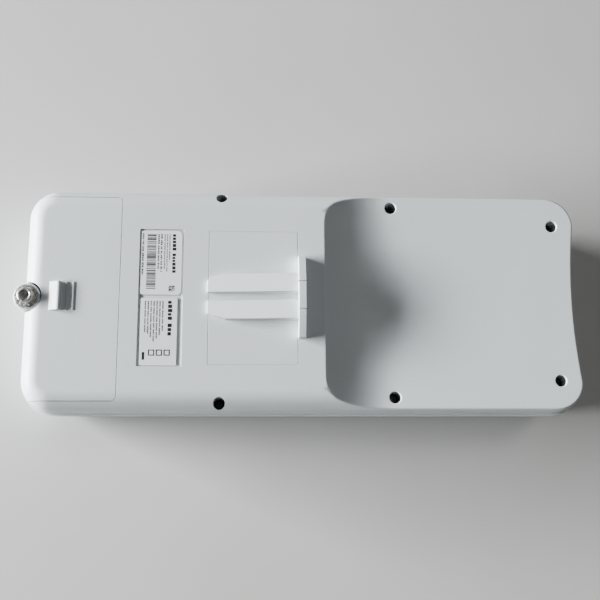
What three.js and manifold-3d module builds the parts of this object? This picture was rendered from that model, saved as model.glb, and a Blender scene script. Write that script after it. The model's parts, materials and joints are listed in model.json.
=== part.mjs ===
// Outdoor wireless bridge, a sector antenna and router in one case.
// It lies on its front face: +Z points out of the back, +X runs away from the port door,
// and the origin is the centre of the case outline on the front face. Millimetres.
// Heights below are counted from a plane 19.5 above that face, and the group is raised to suit.
import * as THREE from 'three';
import { mergeVertices } from 'three/addons/utils/BufferGeometryUtils.js';
import Module from 'manifold-3d';

const manifold = await Module();
manifold.setup();

// ---- driving dimensions -------------------------------------------------------------
const CASE = {
  nearX: -174, farX: 172.6, halfWidth: 70, corner: 20, endBow: 3,
  frontZ: -19.5, lipZ: 31, backZ: 52.5, wall: 2.6, frontRound: 12, backRound: 11.5,
  frontDraft: 0.075, backDraft: 0.065, lipStep: 1.2,
};
const GAP = 0.3;
const SCOOP = {
  x: 9.5, cornerY: 47, cornerR: 25, deckZ: 43, crown: 3.4, crownHalfWidth: 67,
  rampLength: 50, sideRampLength: 34, rampPower: 2.3,
};
const DOOR = {
  edgeX: -114.4, halfWidth: 62.9, clearance: 0.4, wall: 2.4, notch: 9.2,
  hookY: [-45, 0, 45], hookWidth: 8, cornerRound: 3,
};
const TAB = { x0: -156.1, ridge0: -151, ridge1: -149.6, x1: -149.3, height: 2.6, length: 17.5 };
const TAB_RIBS = { x: [-145.8, -142], width: 1, height: 0.6 };
const HOOK = { z0: 46.6, top: 48.8, back: 6, stem: 4, reach: 3.2 };
const BOSS = { x: -170, r: 8.3, topZ: 49.3, coreR: 3.3 };
const CASE_SCREWS = [[-53.9, 63.9], [52.7, 60], [156.5, 49.5]];
const POST = { r: 4.5, pilotR: 1.9, pilotZ: 14 };
const SUPPORT = { r: 3.5, pilotR: 1.6, pilotZ: 8 };
const RIBS = { x: [-60, 0, 60, 120], halfWidth: 66, width: 1.6, height: 5.2 };
const SKIRT = { outer: 3.1, inner: 4.3, z0: 28.8, z1: 32.6 };
const WELL = { r: 3.5, floorZ: 33.6, postR: 5.6, shankHoleR: 2.3 };
const RAIL = {
  x0: -61.8, x1: -6.5, inner: 2.6, outer: 13.9, chamferX: 11, chamferY: 3.7, low: 2, high: 7.4,
};
const PLATE = { x0: -6.7, x1: -1.9, halfWidth: 25.2, endRise: 4.5, midRise: 10, notchY: 8.5 };
const RECESS = { x0: -103.2, x1: -76.6, halfWidth: 42.3, depth: 0.8 };
const MOULD_LINE = { x0: -61.2, x1: -6.6, halfWidth: 41.5, width: 0.5, depth: 0.2 };
const REFLECTOR = { x0: -100, x1: 148, halfWidth: 46, z: 20, sheet: 1, flange: 11 };
const PATCH = { count: 6, pitch: 38, firstX: -71, side: 25, z: 7.6, thickness: 0.8 };
const FEED = { x0: -92, x1: 140, halfWidth: 27, z: 13, thickness: 1.4 };
const BOARD = { x0: -107, x1: -2, halfWidth: 50, z: 33, thickness: 1.6 };
const BOARD_TOP = BOARD.z + BOARD.thickness;
const STANDOFFS = [[-76, 42], [-76, -42], [-14, 42], [-14, -42]];
const REFLECTOR_FIXINGS = [[-90, 38], [-90, -38], [138, 38], [138, -38]];
const COAX_Y = [8, 24];
const COAX_X = -20;
const COAX_HOLE_X = 12;
const BULKHEAD = { x0: -109.8, x1: -107.8, z0: 36.4 };
const JACK = { x0: -113, x1: -94, y0: 17, y1: 33.4, z0: BOARD_TOP + GAP, z1: BOARD_TOP + 13.4 };
const CAGE = { x0: -114, x1: -68, y0: -34, y1: -19.6, z0: BOARD_TOP + GAP, z1: BOARD_TOP + 10.2 };
const RESET = { x0: -106.5, x1: -100.5, z: BOARD_TOP + 4 };
const LEDS = { x0: -108.6, x1: -101, y0: -15.6, pitch: 2.4, count: 5 };
const SINK = { x0: -58, x1: -30, half: 14, z0: 38, finTop: 45.6, fins: 8 };
const CAN = { x0: -34, x1: -8, y0: -37, y1: -16, height: 3.6 };
const ENTRY = { y: -34, z: 19, holeR: 6, beadR: 7 };
const GROUND = {
  plainZ: BOSS.topZ + GAP, plainR: 7.25, toothedZ: BOSS.topZ + 1.8, headZ: BOSS.topZ + 3,
  headHeight: 3.4, headR: 4.7, hexFlats: 5, socketDepth: 2.2, insertZ: 32.2, washerBoreR: 2.8,
  insertBoreR: 2.6,
};
const LABELS = {
  serial: { x0: -102.9, x1: -77.6, y0: 1.2, y1: 41.4, corner: 2.5 },
  rating: { x0: -101.6, x1: -79.6, y0: -41.8, y1: -0.8, corner: 0.6 },
};
const CHIP = { x0: -54, x1: -34, half: 10, top: 37 };
const PAD = { z0: 37.2, z1: 37.8 };
const FAR = 200;
const HIGH = 100;
const LEAD_START = -158.6;

// ---- materials ----------------------------------------------------------------------
const finish = (color, roughness, metalness) =>
  new THREE.MeshStandardMaterial({ color, roughness, metalness });
const white = finish(0xd9dcdb, 0.5, 0);
const steel = finish(0xa9aaa6, 0.35, 1);
const brass = finish(0xb9985a, 0.35, 1);
const aluminium = finish(0xc4c6c8, 0.4, 1);
const blackRubber = finish(0x1b1b1c, 0.8, 0);
const blackPlastic = finish(0x242526, 0.6, 0);
const clearPlastic = finish(0xe4e9ea, 0.25, 0);
const circuitGreen = finish(0x1d4d33, 0.5, 0);
const laminate = finish(0xd8cda6, 0.6, 0);
const nylon = finish(0xe8e4d6, 0.55, 0);
const paper = finish(0xf2f3f2, 0.7, 0);
const padGrey = finish(0x8d9396, 0.9, 0);
const cableBrown = finish(0x5b3a22, 0.5, 0);
const cableYellow = finish(0xa8b030, 0.55, 0);

// ---- solids -------------------------------------------------------------------------
function toSolid(geometry) {
  const bare = geometry.index ? geometry.clone() : geometry;
  bare.deleteAttribute('normal');
  bare.deleteAttribute('uv');
  const merged = mergeVertices(bare, 1e-4);
  return new manifold.Manifold(new manifold.Mesh({
    numProp: 3,
    vertProperties: new Float32Array(merged.attributes.position.array),
    triVerts: new Uint32Array(merged.index.array),
  }));
}

function toGeometry(solid) {
  const mesh = solid.getMesh();
  const geometry = new THREE.BufferGeometry();
  geometry.setAttribute('position', new THREE.BufferAttribute(mesh.vertProperties, 3));
  geometry.setIndex(new THREE.BufferAttribute(mesh.triVerts, 1));
  geometry.computeVertexNormals();
  return geometry;
}

function box(x0, x1, y0, y1, z0, z1) {
  const geometry = new THREE.BoxGeometry(x1 - x0, y1 - y0, z1 - z0);
  geometry.translate((x0 + x1) / 2, (y0 + y1) / 2, (z0 + z1) / 2);
  return toSolid(geometry);
}

function cylinder(x, y, z0, z1, r, sides = 24, topR = r, turn = 0) {
  const geometry = new THREE.CylinderGeometry(topR, r, z1 - z0, sides);
  geometry.rotateX(Math.PI / 2);
  geometry.rotateZ(turn);
  geometry.translate(x, y, (z0 + z1) / 2);
  return toSolid(geometry);
}

function endCylinder(x0, x1, y, z, r, sides) {
  const geometry = new THREE.CylinderGeometry(r, r, x1 - x0, sides);
  geometry.rotateZ(-Math.PI / 2);
  geometry.translate((x0 + x1) / 2, y, z);
  return toSolid(geometry);
}

// A turned piece about an upright axis at (x, y); points are [radius, z].
function turned(x, y, points, sides = 24) {
  const profile = points.map(([r, z]) => new THREE.Vector2(r, z));
  const geometry = new THREE.LatheGeometry(profile, sides);
  geometry.rotateX(Math.PI / 2);
  geometry.translate(x, y, 0);
  return toSolid(geometry);
}

// An outline in X and Y, raised from z0 to z1.
function prism(shape, z0, z1, curveSegments = 6) {
  const geometry = new THREE.ExtrudeGeometry(shape, {
    depth: z1 - z0, bevelEnabled: false, curveSegments,
  });
  geometry.translate(0, 0, z0);
  return toSolid(geometry);
}

// A side profile in X and Z, drawn out along Y from y0 to y1.
function sideProfile(points, y0, y1) {
  const shape = new THREE.Shape(points.map(([x, z]) => new THREE.Vector2(x, z)));
  const geometry = new THREE.ExtrudeGeometry(shape, { depth: y1 - y0, bevelEnabled: false });
  geometry.rotateX(Math.PI / 2);
  geometry.translate(0, y1, 0);
  return toSolid(geometry);
}

// An end profile in Y and Z, drawn out along X from x0 to x1.
function endProfile(shape, x0, x1, curveSegments = 16) {
  const geometry = new THREE.ExtrudeGeometry(shape, {
    depth: x1 - x0, bevelEnabled: false, curveSegments,
  });
  geometry.rotateX(Math.PI / 2);
  geometry.rotateZ(Math.PI / 2);
  geometry.translate(x0, 0, 0);
  return toSolid(geometry);
}

function roundedRectangle(x0, x1, y0, y1, r) {
  const shape = new THREE.Shape();
  shape.moveTo(x0 + r, y0);
  shape.lineTo(x1 - r, y0);
  shape.absarc(x1 - r, y0 + r, r, -Math.PI / 2, 0);
  shape.lineTo(x1, y1 - r);
  shape.absarc(x1 - r, y1 - r, r, 0, Math.PI / 2);
  shape.lineTo(x0 + r, y1);
  shape.absarc(x0 + r, y1 - r, r, Math.PI / 2, Math.PI);
  shape.lineTo(x0, y0 + r);
  shape.absarc(x0 + r, y0 + r, r, Math.PI, 1.5 * Math.PI);
  return shape;
}

function tube(points, r, steps, sides = 8) {
  const section = new THREE.Shape();
  section.absarc(0, 0, r, 0, 2 * Math.PI);
  const path = new THREE.CatmullRomCurve3(points.map((p) => new THREE.Vector3(...p)));
  return toSolid(new THREE.ExtrudeGeometry(section, {
    steps, extrudePath: path, curveSegments: sides / 2, bevelEnabled: false,
  }));
}

// Skin through a stack of level rings with the same number of points, closed at both ends.
function loft(rings) {
  const count = rings[0].length;
  const positions = rings.flat().flatMap((p) => [p.x, p.y, p.z]);
  const faces = [];
  for (let level = 0; level < rings.length - 1; level += 1) {
    for (let i = 0; i < count; i += 1) {
      const a = level * count + i;
      const b = level * count + (i + 1) % count;
      faces.push(a, b, a + count, b, b + count, a + count);
    }
  }
  const caps = [[rings[0], 0, false], [rings.at(-1), (rings.length - 1) * count, true]];
  for (const [ring, first, up] of caps) {
    const middle = positions.length / 3;
    const x = (Math.max(...ring.map((p) => p.x)) + Math.min(...ring.map((p) => p.x))) / 2;
    positions.push(x, 0, ring[0].z);
    for (let i = 0; i < count; i += 1) {
      const a = first + i;
      const b = first + (i + 1) % count;
      faces.push(...(up ? [a, b, middle] : [b, a, middle]));
    }
  }
  const geometry = new THREE.BufferGeometry();
  geometry.setAttribute('position', new THREE.Float32BufferAttribute(positions, 3));
  geometry.setIndex(faces);
  return toSolid(geometry);
}

// Block from floorZ up to a surface height(x, y) over a grid of xs and ys.
function heightBlock(xs, ys, floorZ, height) {
  const across = ys.length;
  const positions = [];
  for (const level of [() => floorZ, height]) {
    for (const x of xs) for (const y of ys) positions.push(x, y, level(x, y));
  }
  const top = xs.length * across;
  const faces = [];
  const quad = (a, b, c, d) => faces.push(a, b, c, a, c, d);
  for (let i = 0; i < xs.length - 1; i += 1) {
    for (let j = 0; j < across - 1; j += 1) {
      const a = i * across + j;
      quad(a, a + 1, a + across + 1, a + across);
      quad(top + a, top + a + across, top + a + across + 1, top + a + 1);
    }
    const near = i * across;
    const far = near + across - 1;
    quad(near, near + across, top + near + across, top + near);
    quad(far + across, far, top + far, top + far + across);
  }
  for (let j = 0; j < across - 1; j += 1) {
    const right = (xs.length - 1) * across + j;
    quad(j + 1, j, top + j, top + j + 1);
    quad(right, right + 1, top + right + 1, top + right);
  }
  const geometry = new THREE.BufferGeometry();
  geometry.setAttribute('position', new THREE.Float32BufferAttribute(positions, 3));
  geometry.setIndex(faces);
  return toSolid(geometry);
}

const join = (pieces) => pieces.reduce((whole, piece) => whole.add(piece));
const range = (from, to, steps) =>
  Array.from({ length: steps + 1 }, (_, i) => from + ((to - from) * i) / steps);

// ---- case outlines ------------------------------------------------------------------
// Level ring with rounded corners; the +X end is bowed inwards by endBow.
function ring(x0, x1, halfWidth, leftCorner, rightCorner, z) {
  const points = [];
  const corner = (cx, cy, r, from, segments) => {
    for (const angle of range(from, from + 90, segments)) {
      const t = THREE.MathUtils.degToRad(angle);
      points.push(new THREE.Vector3(cx + r * Math.cos(t), cy + r * Math.sin(t), z));
    }
  };
  const bowHalf = halfWidth - rightCorner;
  for (const y of range(-bowHalf, bowHalf, 10).slice(1, -1)) {
    const bow = CASE.endBow * (1 - (y / bowHalf) ** 2);
    points.push(new THREE.Vector3(x1 - bow, y, z));
  }
  corner(x1 - rightCorner, halfWidth - rightCorner, rightCorner, 0, 9);
  corner(x0 + leftCorner, halfWidth - leftCorner, leftCorner, 90, 9);
  corner(x0 + leftCorner, leftCorner - halfWidth, leftCorner, 180, 9);
  corner(x1 - rightCorner, rightCorner - halfWidth, rightCorner, 270, 9);
  return points;
}

function caseRing(inset, z) {
  const r = Math.max(CASE.corner - inset, 1.5);
  return ring(CASE.nearX + inset, CASE.farX - inset, CASE.halfWidth - inset, r, r, z);
}

// Wall that leans in as it leaves the lip, then turns through a quarter round to a flat.
function roundedStack(startInset, startZ, endZ, round, draft, segments = 6) {
  const up = Math.sign(endZ - startZ);
  const bendZ = endZ - up * round;
  const bendInset = startInset + draft * Math.abs(bendZ - startZ);
  const rings = [caseRing(startInset, startZ)];
  for (const angle of range(0, Math.PI / 2, segments)) {
    const inset = bendInset + round * (1 - Math.cos(angle));
    rings.push(caseRing(inset, bendZ + up * round * Math.sin(angle)));
  }
  return loft(up > 0 ? rings : rings.reverse());
}

const backOuter = () => roundedStack(
  CASE.lipStep, CASE.lipZ + GAP, CASE.backZ, CASE.backRound, CASE.backDraft);
const backInner = (wall) => roundedStack(
  CASE.lipStep + wall, CASE.lipZ - 1, CASE.backZ - wall, CASE.backRound - wall, CASE.backDraft);

// ---- scoop --------------------------------------------------------------------------
// The ramp runs down from a rim that bends back at its corners, and is shorter at the sides.
function scoopAt(x, y) {
  const past = Math.max(Math.abs(y) - SCOOP.cornerY, 0);
  const rimX = SCOOP.x + SCOOP.cornerR - Math.sqrt(Math.max(SCOOP.cornerR ** 2 - past ** 2, 0));
  const side = (y / SCOOP.crownHalfWidth) ** 2;
  const length = SCOOP.rampLength - (SCOOP.rampLength - SCOOP.sideRampLength) * side;
  const deckZ = SCOOP.deckZ + SCOOP.crown * side;
  const left = Math.max(1 - (x - rimX) / length, 0);
  const fall = CASE.backZ - deckZ;
  return {
    z: Math.min(deckZ + fall * left ** SCOOP.rampPower, HIGH),
    slope: fall * SCOOP.rampPower / length * left ** (SCOOP.rampPower - 1),
  };
}

const scoopHeight = (x, y) => scoopAt(x, y).z;

function scoopInnerHeight(x, y) {
  const { z, slope } = scoopAt(x, y);
  return Math.max(z - CASE.wall * Math.sqrt(1 + Math.min(slope, 1) ** 2), 0);
}

// Everything under the scoop surface.
function underScoop(height) {
  const rampEnd = SCOOP.x + SCOOP.rampLength;
  const xs = [-FAR, -20, ...range(0, rampEnd, 24), 100, FAR];
  const half = [4, 20, 35, 47, 53, 58, 62, 65, 68, 74];
  const ys = [...half.map((y) => -y).reverse(), ...half];
  return heightBlock(xs, ys, 20, height);
}

// ---- front shell --------------------------------------------------------------------
const mirrored = (points) => points.flatMap(([x, y]) => [[x, y], [x, -y]]);

function frontRadome() {
  const outer = roundedStack(0, CASE.lipZ, CASE.frontZ, CASE.frontRound, CASE.frontDraft);
  const inner = roundedStack(CASE.wall, CASE.lipZ + 1, CASE.frontZ + CASE.wall,
    CASE.frontRound - CASE.wall, CASE.frontDraft, 5);
  const floorZ = CASE.frontZ + 1;
  const posts = mirrored(CASE_SCREWS).map(([x, y]) =>
    cylinder(x, y, floorZ, CASE.lipZ - 0.6, POST.r, 16).intersect(outer));
  const pilots = mirrored(CASE_SCREWS).map(([x, y]) =>
    cylinder(x, y, POST.pilotZ, CASE.lipZ + 1, POST.pilotR, 12));
  const supports = REFLECTOR_FIXINGS.map(([x, y]) =>
    cylinder(x, y, floorZ, REFLECTOR.z - GAP, SUPPORT.r, 14));
  const supportPilots = REFLECTOR_FIXINGS.map(([x, y]) =>
    cylinder(x, y, SUPPORT.pilotZ, REFLECTOR.z + 1, SUPPORT.pilotR, 10));
  const ribs = RIBS.x.map((x) =>
    box(x - RIBS.width / 2, x + RIBS.width / 2, -RIBS.halfWidth, RIBS.halfWidth,
      floorZ, CASE.frontZ + RIBS.height).intersect(outer));
  const boss = turned(BOSS.x, 0, [
    [0, 6], [4.8, 6], [BOSS.r, 14], [BOSS.r, BOSS.topZ - 0.6], [BOSS.r - 0.6, BOSS.topZ],
    [0, BOSS.topZ]], 32);
  const core = cylinder(BOSS.x, 0, 29.5, BOSS.topZ + 1, BOSS.coreR, 20);
  const lugSlot = box(BOSS.x, BOSS.x + 10, -3.6, 3.6, 29.6, 31.6);
  const entry = endCylinder(-180, -160, ENTRY.y, ENTRY.z, ENTRY.holeR, 24);
  const bare = join([outer.subtract(inner), ...posts, ...supports, ...ribs, boss]);
  return bare.subtract(join([...pilots, ...supportPilots, core, lugSlot, entry]));
}

// ---- rear shell ---------------------------------------------------------------------
function mountRails() {
  const outline = new THREE.Shape();
  outline.moveTo(RAIL.x0, RAIL.inner);
  outline.lineTo(RAIL.x1, RAIL.inner);
  outline.lineTo(RAIL.x1, RAIL.outer);
  outline.lineTo(RAIL.x0 + RAIL.chamferX, RAIL.outer);
  outline.lineTo(RAIL.x0, RAIL.outer - RAIL.chamferY);
  const rail = prism(outline, CASE.backZ - 1, CASE.backZ + 12);
  const wedge = sideProfile([
    [RAIL.x0 - 1, CASE.backZ - 2], [RAIL.x1 + 1, CASE.backZ - 2],
    [RAIL.x1 + 1, CASE.backZ + RAIL.high], [RAIL.x0 - 1, CASE.backZ + RAIL.low]], -20, 20);
  return rail.add(rail.mirror([0, 1, 0])).intersect(wedge);
}

function mountPlate() {
  const { halfWidth, endRise, midRise } = PLATE;
  const rise = midRise - endRise;
  const r = (halfWidth ** 2 + rise ** 2) / (2 * rise);
  const centreZ = CASE.backZ + midRise - r;
  const swing = Math.asin(halfWidth / r);
  const outline = new THREE.Shape();
  outline.moveTo(-halfWidth, CASE.backZ - 1);
  outline.lineTo(halfWidth, CASE.backZ - 1);
  outline.lineTo(halfWidth, CASE.backZ + endRise);
  outline.absarc(0, centreZ, r, Math.PI / 2 - swing, Math.PI / 2 + swing);
  const plate = endProfile(outline, PLATE.x0, PLATE.x1, 20);
  const upperSlit = box(PLATE.x0 - 1, PLATE.x1 + 1, PLATE.notchY - 0.3, PLATE.notchY + 0.3,
    CASE.backZ + midRise - 3, CASE.backZ + midRise + 1);
  const lowerSlit = box(PLATE.x0 - 1, PLATE.x1 + 1, -PLATE.notchY - 0.2, -PLATE.notchY + 0.2,
    CASE.backZ + midRise - 1.9, CASE.backZ + midRise + 1);
  return plate.subtract(upperSlit.add(lowerSlit));
}

function mouldLine() {
  const { x0, x1, halfWidth, width, depth } = MOULD_LINE;
  const z0 = CASE.backZ - depth;
  const z1 = CASE.backZ + 0.5;
  const outside = box(x0, x1, -halfWidth, halfWidth, z0, z1);
  return outside.subtract(box(
    x0 + width, x1 - width, -halfWidth + width, halfWidth - width, z0 - 1, z1 + 1));
}

// The doorway outline, open past the end of the case, with rounded inner corners.
function doorwayOutline(edgeX, half, r) {
  const shape = new THREE.Shape();
  shape.moveTo(-FAR, -half);
  shape.lineTo(edgeX - r, -half);
  shape.absarc(edgeX - r, r - half, r, -Math.PI / 2, 0);
  shape.lineTo(edgeX, half - r);
  shape.absarc(edgeX - r, half - r, r, 0, Math.PI / 2);
  shape.lineTo(-FAR, half);
  return shape;
}

// Windows in the bulkhead for the two ports, the reset button and the lights.
function portWindows() {
  const [x0, x1] = [BULKHEAD.x0 - 1, BULKHEAD.x1 + 1];
  const clear = 0.6;
  return [
    box(x0, x1, JACK.y0 - clear, JACK.y1 + clear, 30, JACK.z1 + clear),
    box(x0, x1, CAGE.y0 - clear, CAGE.y1 + clear, 30, CAGE.z1 + clear),
    endCylinder(x0, x1, 0, RESET.z, 2.4, 16),
    box(x0, x1, LEDS.y0 - 1.6, LEDS.y0 + LEDS.pitch * (LEDS.count - 1) + 1.6, 30, 38),
  ];
}

function rearShell() {
  const outer = backOuter().intersect(underScoop(scoopHeight));
  const inner = backInner(CASE.wall).intersect(underScoop(scoopInnerHeight));
  const atScrews = (make) => mirrored(CASE_SCREWS).map(([x, y]) => make(x, y));
  const posts = atScrews((x, y) =>
    cylinder(x, y, CASE.lipZ + GAP, HIGH, WELL.postR, 20).intersect(outer));
  const wells = atScrews((x, y) => cylinder(x, y, WELL.floorZ, HIGH, WELL.r, 24));
  const shankHoles = atScrews((x, y) => cylinder(x, y, 25, 40, WELL.shankHoleR, 16));
  const skirt = loft([caseRing(SKIRT.outer, SKIRT.z0), caseRing(SKIRT.outer, SKIRT.z1)])
    .subtract(loft([caseRing(SKIRT.inner, SKIRT.z0 - 1), caseRing(SKIRT.inner, SKIRT.z1 + 1)]));
  const postRoom = atScrews((x, y) =>
    cylinder(x, y, 20, CASE.lipZ, POST.r + 0.7, 16, POST.r + 0.7, 0.1));
  const bulkhead = box(BULKHEAD.x0, BULKHEAD.x1, -66, 66, BULKHEAD.z0, 52).intersect(outer);
  const doorway = prism(
    doorwayOutline(DOOR.edgeX, DOOR.halfWidth, DOOR.cornerRound + DOOR.clearance), 20, HIGH, 4);
  const recess = box(
    RECESS.x0, RECESS.x1, -RECESS.halfWidth, RECESS.halfWidth, CASE.backZ - RECESS.depth, 60);
  const bare = join([
    outer.subtract(inner), ...posts, skirt.subtract(join(postRoom)), bulkhead,
    mountRails(), mountPlate()]);
  return bare.subtract(join([
    ...wells, ...shankHoles, doorway, recess, mouldLine(), ...portWindows()]));
}

// ---- port door ----------------------------------------------------------------------
function portDoor() {
  const edge = DOOR.edgeX - DOOR.clearance;
  const half = DOOR.halfWidth - DOOR.clearance;
  const outline = doorwayOutline(edge, half, DOOR.cornerRound);
  const region = prism(outline, CASE.lipZ + GAP + 0.2, HIGH, 4);
  const panel = backOuter().subtract(backInner(DOOR.wall)).intersect(region);
  const top = CASE.backZ + TAB.height;
  const tab = sideProfile([
    [TAB.x0, CASE.backZ - 1], [TAB.x1, CASE.backZ - 1], [TAB.x1, CASE.backZ + 1],
    [TAB.ridge1, top - 0.4], [TAB.ridge1 - 0.4, top], [TAB.ridge0, top], [TAB.x0, CASE.backZ + 0.3],
  ], -TAB.length / 2, TAB.length / 2);
  const ribs = TAB_RIBS.x.map((x) =>
    box(x - TAB_RIBS.width / 2, x + TAB_RIBS.width / 2, -TAB.length / 2, TAB.length / 2,
      CASE.backZ - 1, CASE.backZ + TAB_RIBS.height));
  const hooks = DOOR.hookY.map((y) => {
    const y0 = y - DOOR.hookWidth / 2;
    const y1 = y + DOOR.hookWidth / 2;
    const back = edge - HOOK.back;
    return box(back, back + HOOK.stem, y0, y1, HOOK.z0, CASE.backZ - 1)
      .add(box(back, edge + HOOK.reach, y0, y1, HOOK.z0, HOOK.top));
  });
  const notch = cylinder(BOSS.x, 0, 20, HIGH, DOOR.notch, 32)
    .add(box(-FAR, BOSS.x, -DOOR.notch, DOOR.notch, 20, HIGH));
  return join([panel, tab, ...ribs, ...hooks]).subtract(notch);
}

// ---- fasteners ----------------------------------------------------------------------
function panScrew(x, y, seatZ, headR, headHeight, shankR, tipZ, socketR) {
  const body = turned(x, y, [
    [0, tipZ], [shankR * 0.6, tipZ], [shankR, tipZ + 1.5], [shankR, seatZ], [headR, seatZ],
    [headR, seatZ + headHeight * 0.6], [headR * 0.75, seatZ + headHeight],
    [0, seatZ + headHeight]], 16);
  return body.subtract(cylinder(x, y, seatZ + headHeight * 0.35, seatZ + 10, socketR, 6));
}

function groundScrew() {
  const seat = GROUND.headZ;
  const top = seat + GROUND.headHeight;
  const body = turned(BOSS.x, 0, [
    [0, 33], [1.7, 33], [2.4, 34.2], [2.4, seat], [GROUND.headR, seat],
    [GROUND.headR, top - 0.7], [GROUND.headR - 0.7, top], [0, top]], 32);
  const hexR = GROUND.hexFlats / Math.sqrt(3);
  const lead = cylinder(BOSS.x, 0, top - 0.6, top + 0.1, hexR - 0.3, 24, hexR + 0.5, 0.1);
  const socket = cylinder(BOSS.x, 0, top - GROUND.socketDepth, top + 1, hexR, 6);
  return body.subtract(socket).subtract(lead);
}

function plainWasher() {
  return cylinder(BOSS.x, 0, GROUND.plainZ, GROUND.plainZ + 1.2, GROUND.plainR, 32)
    .subtract(cylinder(BOSS.x, 0, 40, 60, GROUND.washerBoreR, 20));
}

function toothedWasher() {
  const teeth = 14;
  const outline = new THREE.Shape();
  for (let i = 0; i < teeth; i += 1) {
    const corners = [[0, 5.2], [0.12, 6.2], [0.62, 6.2], [0.74, 5.2]];
    for (const [share, r] of corners) {
      const angle = ((i + share) / teeth) * 2 * Math.PI;
      const x = BOSS.x + r * Math.cos(angle);
      const y = r * Math.sin(angle);
      if (i === 0 && share === 0) outline.moveTo(x, y);
      else outline.lineTo(x, y);
    }
  }
  return prism(outline, GROUND.toothedZ, GROUND.toothedZ + 0.9)
    .subtract(cylinder(BOSS.x, 0, 40, 60, GROUND.washerBoreR, 20));
}

function groundInsert() {
  return cylinder(BOSS.x, 0, GROUND.insertZ, BOSS.topZ - 0.2, BOSS.coreR - GAP, 20)
    .subtract(cylinder(BOSS.x, 0, 20, 60, GROUND.insertBoreR, 16));
}

function groundLug() {
  return box(BOSS.x - 1.2, LEAD_START, -2.6, 2.6, 30.2, 31.2);
}

// ---- antenna ------------------------------------------------------------------------
function reflectorTray() {
  const { x0, x1, halfWidth, z, sheet, flange } = REFLECTOR;
  const whole = box(x0, x1, -halfWidth, halfWidth, z - flange, z + sheet);
  const hollow = box(x0 - 1, x1 + 1, -halfWidth + sheet, halfWidth - sheet, z - flange - 1, z);
  const holes = [
    ...REFLECTOR_FIXINGS.map(([x, y]) => cylinder(x, y, z - 2, z + 3, 1.9, 12)),
    ...COAX_Y.map((y) => cylinder(COAX_HOLE_X, y, z - 2, z + 3, 2.4, 12)),
  ];
  return whole.subtract(hollow).subtract(join(holes));
}

const patchX = (i) => PATCH.firstX + PATCH.pitch * i;

function feedBoard() {
  const sheet = prism(roundedRectangle(FEED.x0, FEED.x1, -FEED.halfWidth, FEED.halfWidth, 3),
    FEED.z, FEED.z + FEED.thickness, 3);
  const holes = range(0, PATCH.count - 1, PATCH.count - 1).map((i) =>
    cylinder(patchX(i), 0, FEED.z - 1, FEED.z + 3, 1.6, 10));
  return sheet.subtract(join(holes));
}

function radiatorPatch(i) {
  const half = PATCH.side / 2;
  const x = patchX(i);
  return prism(roundedRectangle(x - half, x + half, -half, half, 2),
    PATCH.z, PATCH.z + PATCH.thickness, 3);
}

function patchPost(i) {
  const feedTop = FEED.z + FEED.thickness;
  return turned(patchX(i), 0, [
    [0, PATCH.z + PATCH.thickness + GAP], [2.6, PATCH.z + PATCH.thickness + GAP],
    [2.6, FEED.z - GAP], [1.2, FEED.z - GAP], [1.2, feedTop + GAP], [2.6, feedTop + GAP],
    [2.6, REFLECTOR.z - GAP], [0, REFLECTOR.z - GAP]], 12);
}

// ---- router board and what it carries -------------------------------------------------
function routerBoard() {
  const sheet = prism(
    roundedRectangle(BOARD.x0, BOARD.x1, -BOARD.halfWidth, BOARD.halfWidth, 2),
    BOARD.z, BOARD_TOP, 3);
  return sheet.subtract(join(STANDOFFS.map(([x, y]) =>
    cylinder(x, y, BOARD.z - 1, BOARD_TOP + 1, 1.8, 12))));
}

function boardStandoff(x, y) {
  const z0 = REFLECTOR.z + REFLECTOR.sheet + GAP;
  return cylinder(x, y, z0, BOARD.z - GAP, 3, 6)
    .subtract(cylinder(x, y, z0 + 2, BOARD.z + 1, 1.8, 12));
}

function ethernetJack() {
  const { x0, x1, y0, y1, z0, z1 } = JACK;
  const shell = box(x0, x1, y0, y1, z0, z1);
  const mouth = box(x0 - 1, x0 + 14, y0 + 2.3, y1 - 2.3, z0 + 3.4, z1 - 1.2);
  const latchSlot = box(x0 - 1, x0 + 10, y0 + 5.2, y1 - 5.2, z0 + 1.4, z0 + 4);
  const springs = [y0, y1].map((y) => box(x0 + 4, x0 + 9, y - 0.3, y + 0.3, z0 + 4, z0 + 9));
  return shell.subtract(mouth).subtract(latchSlot).subtract(join(springs));
}

function fibreCage() {
  const { x0, x1, y0, y1, z0, z1 } = CAGE;
  const bore = box(x0 - 1, x1 - 4, y0 + 0.8, y1 - 0.8, z0 + 0.8, z1 - 0.8);
  const vents = range(x0 + 14, x1 - 8, 4).map((x) =>
    box(x - 1.2, x + 1.2, y0 + 4, y1 - 4, z1 - 2, z1 + 1));
  return box(x0, x1, y0, y1, z0, z1).subtract(bore).subtract(join(vents));
}

function dustPlug() {
  const { x0, y0, y1, z0, z1 } = CAGE;
  const clear = 0.8 + GAP;
  const stem = box(x0 - 0.4, x0 + 10, y0 + clear, y1 - clear, z0 + clear, z1 - clear);
  const collar = box(x0 - 1.6, x0 - GAP, y0, y1, z0, z1);
  const grip = box(x0 - 5.5, x0 - 1, y0 + 4, y1 - 4, z0 + 2.5, z1 - 2.5);
  return join([stem, collar, grip]);
}

function resetSwitch() {
  return box(RESET.x0, RESET.x1, -3.2, 3.2, BOARD_TOP + GAP, RESET.z + 3.2)
    .subtract(endCylinder(RESET.x0 - 1, RESET.x1 - 1.5, 0, RESET.z, 2.1, 16));
}

function resetButton() {
  return endCylinder(RESET.x0 - 3.4, RESET.x1 - 2.8, 0, RESET.z, 1.7, 16);
}

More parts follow.
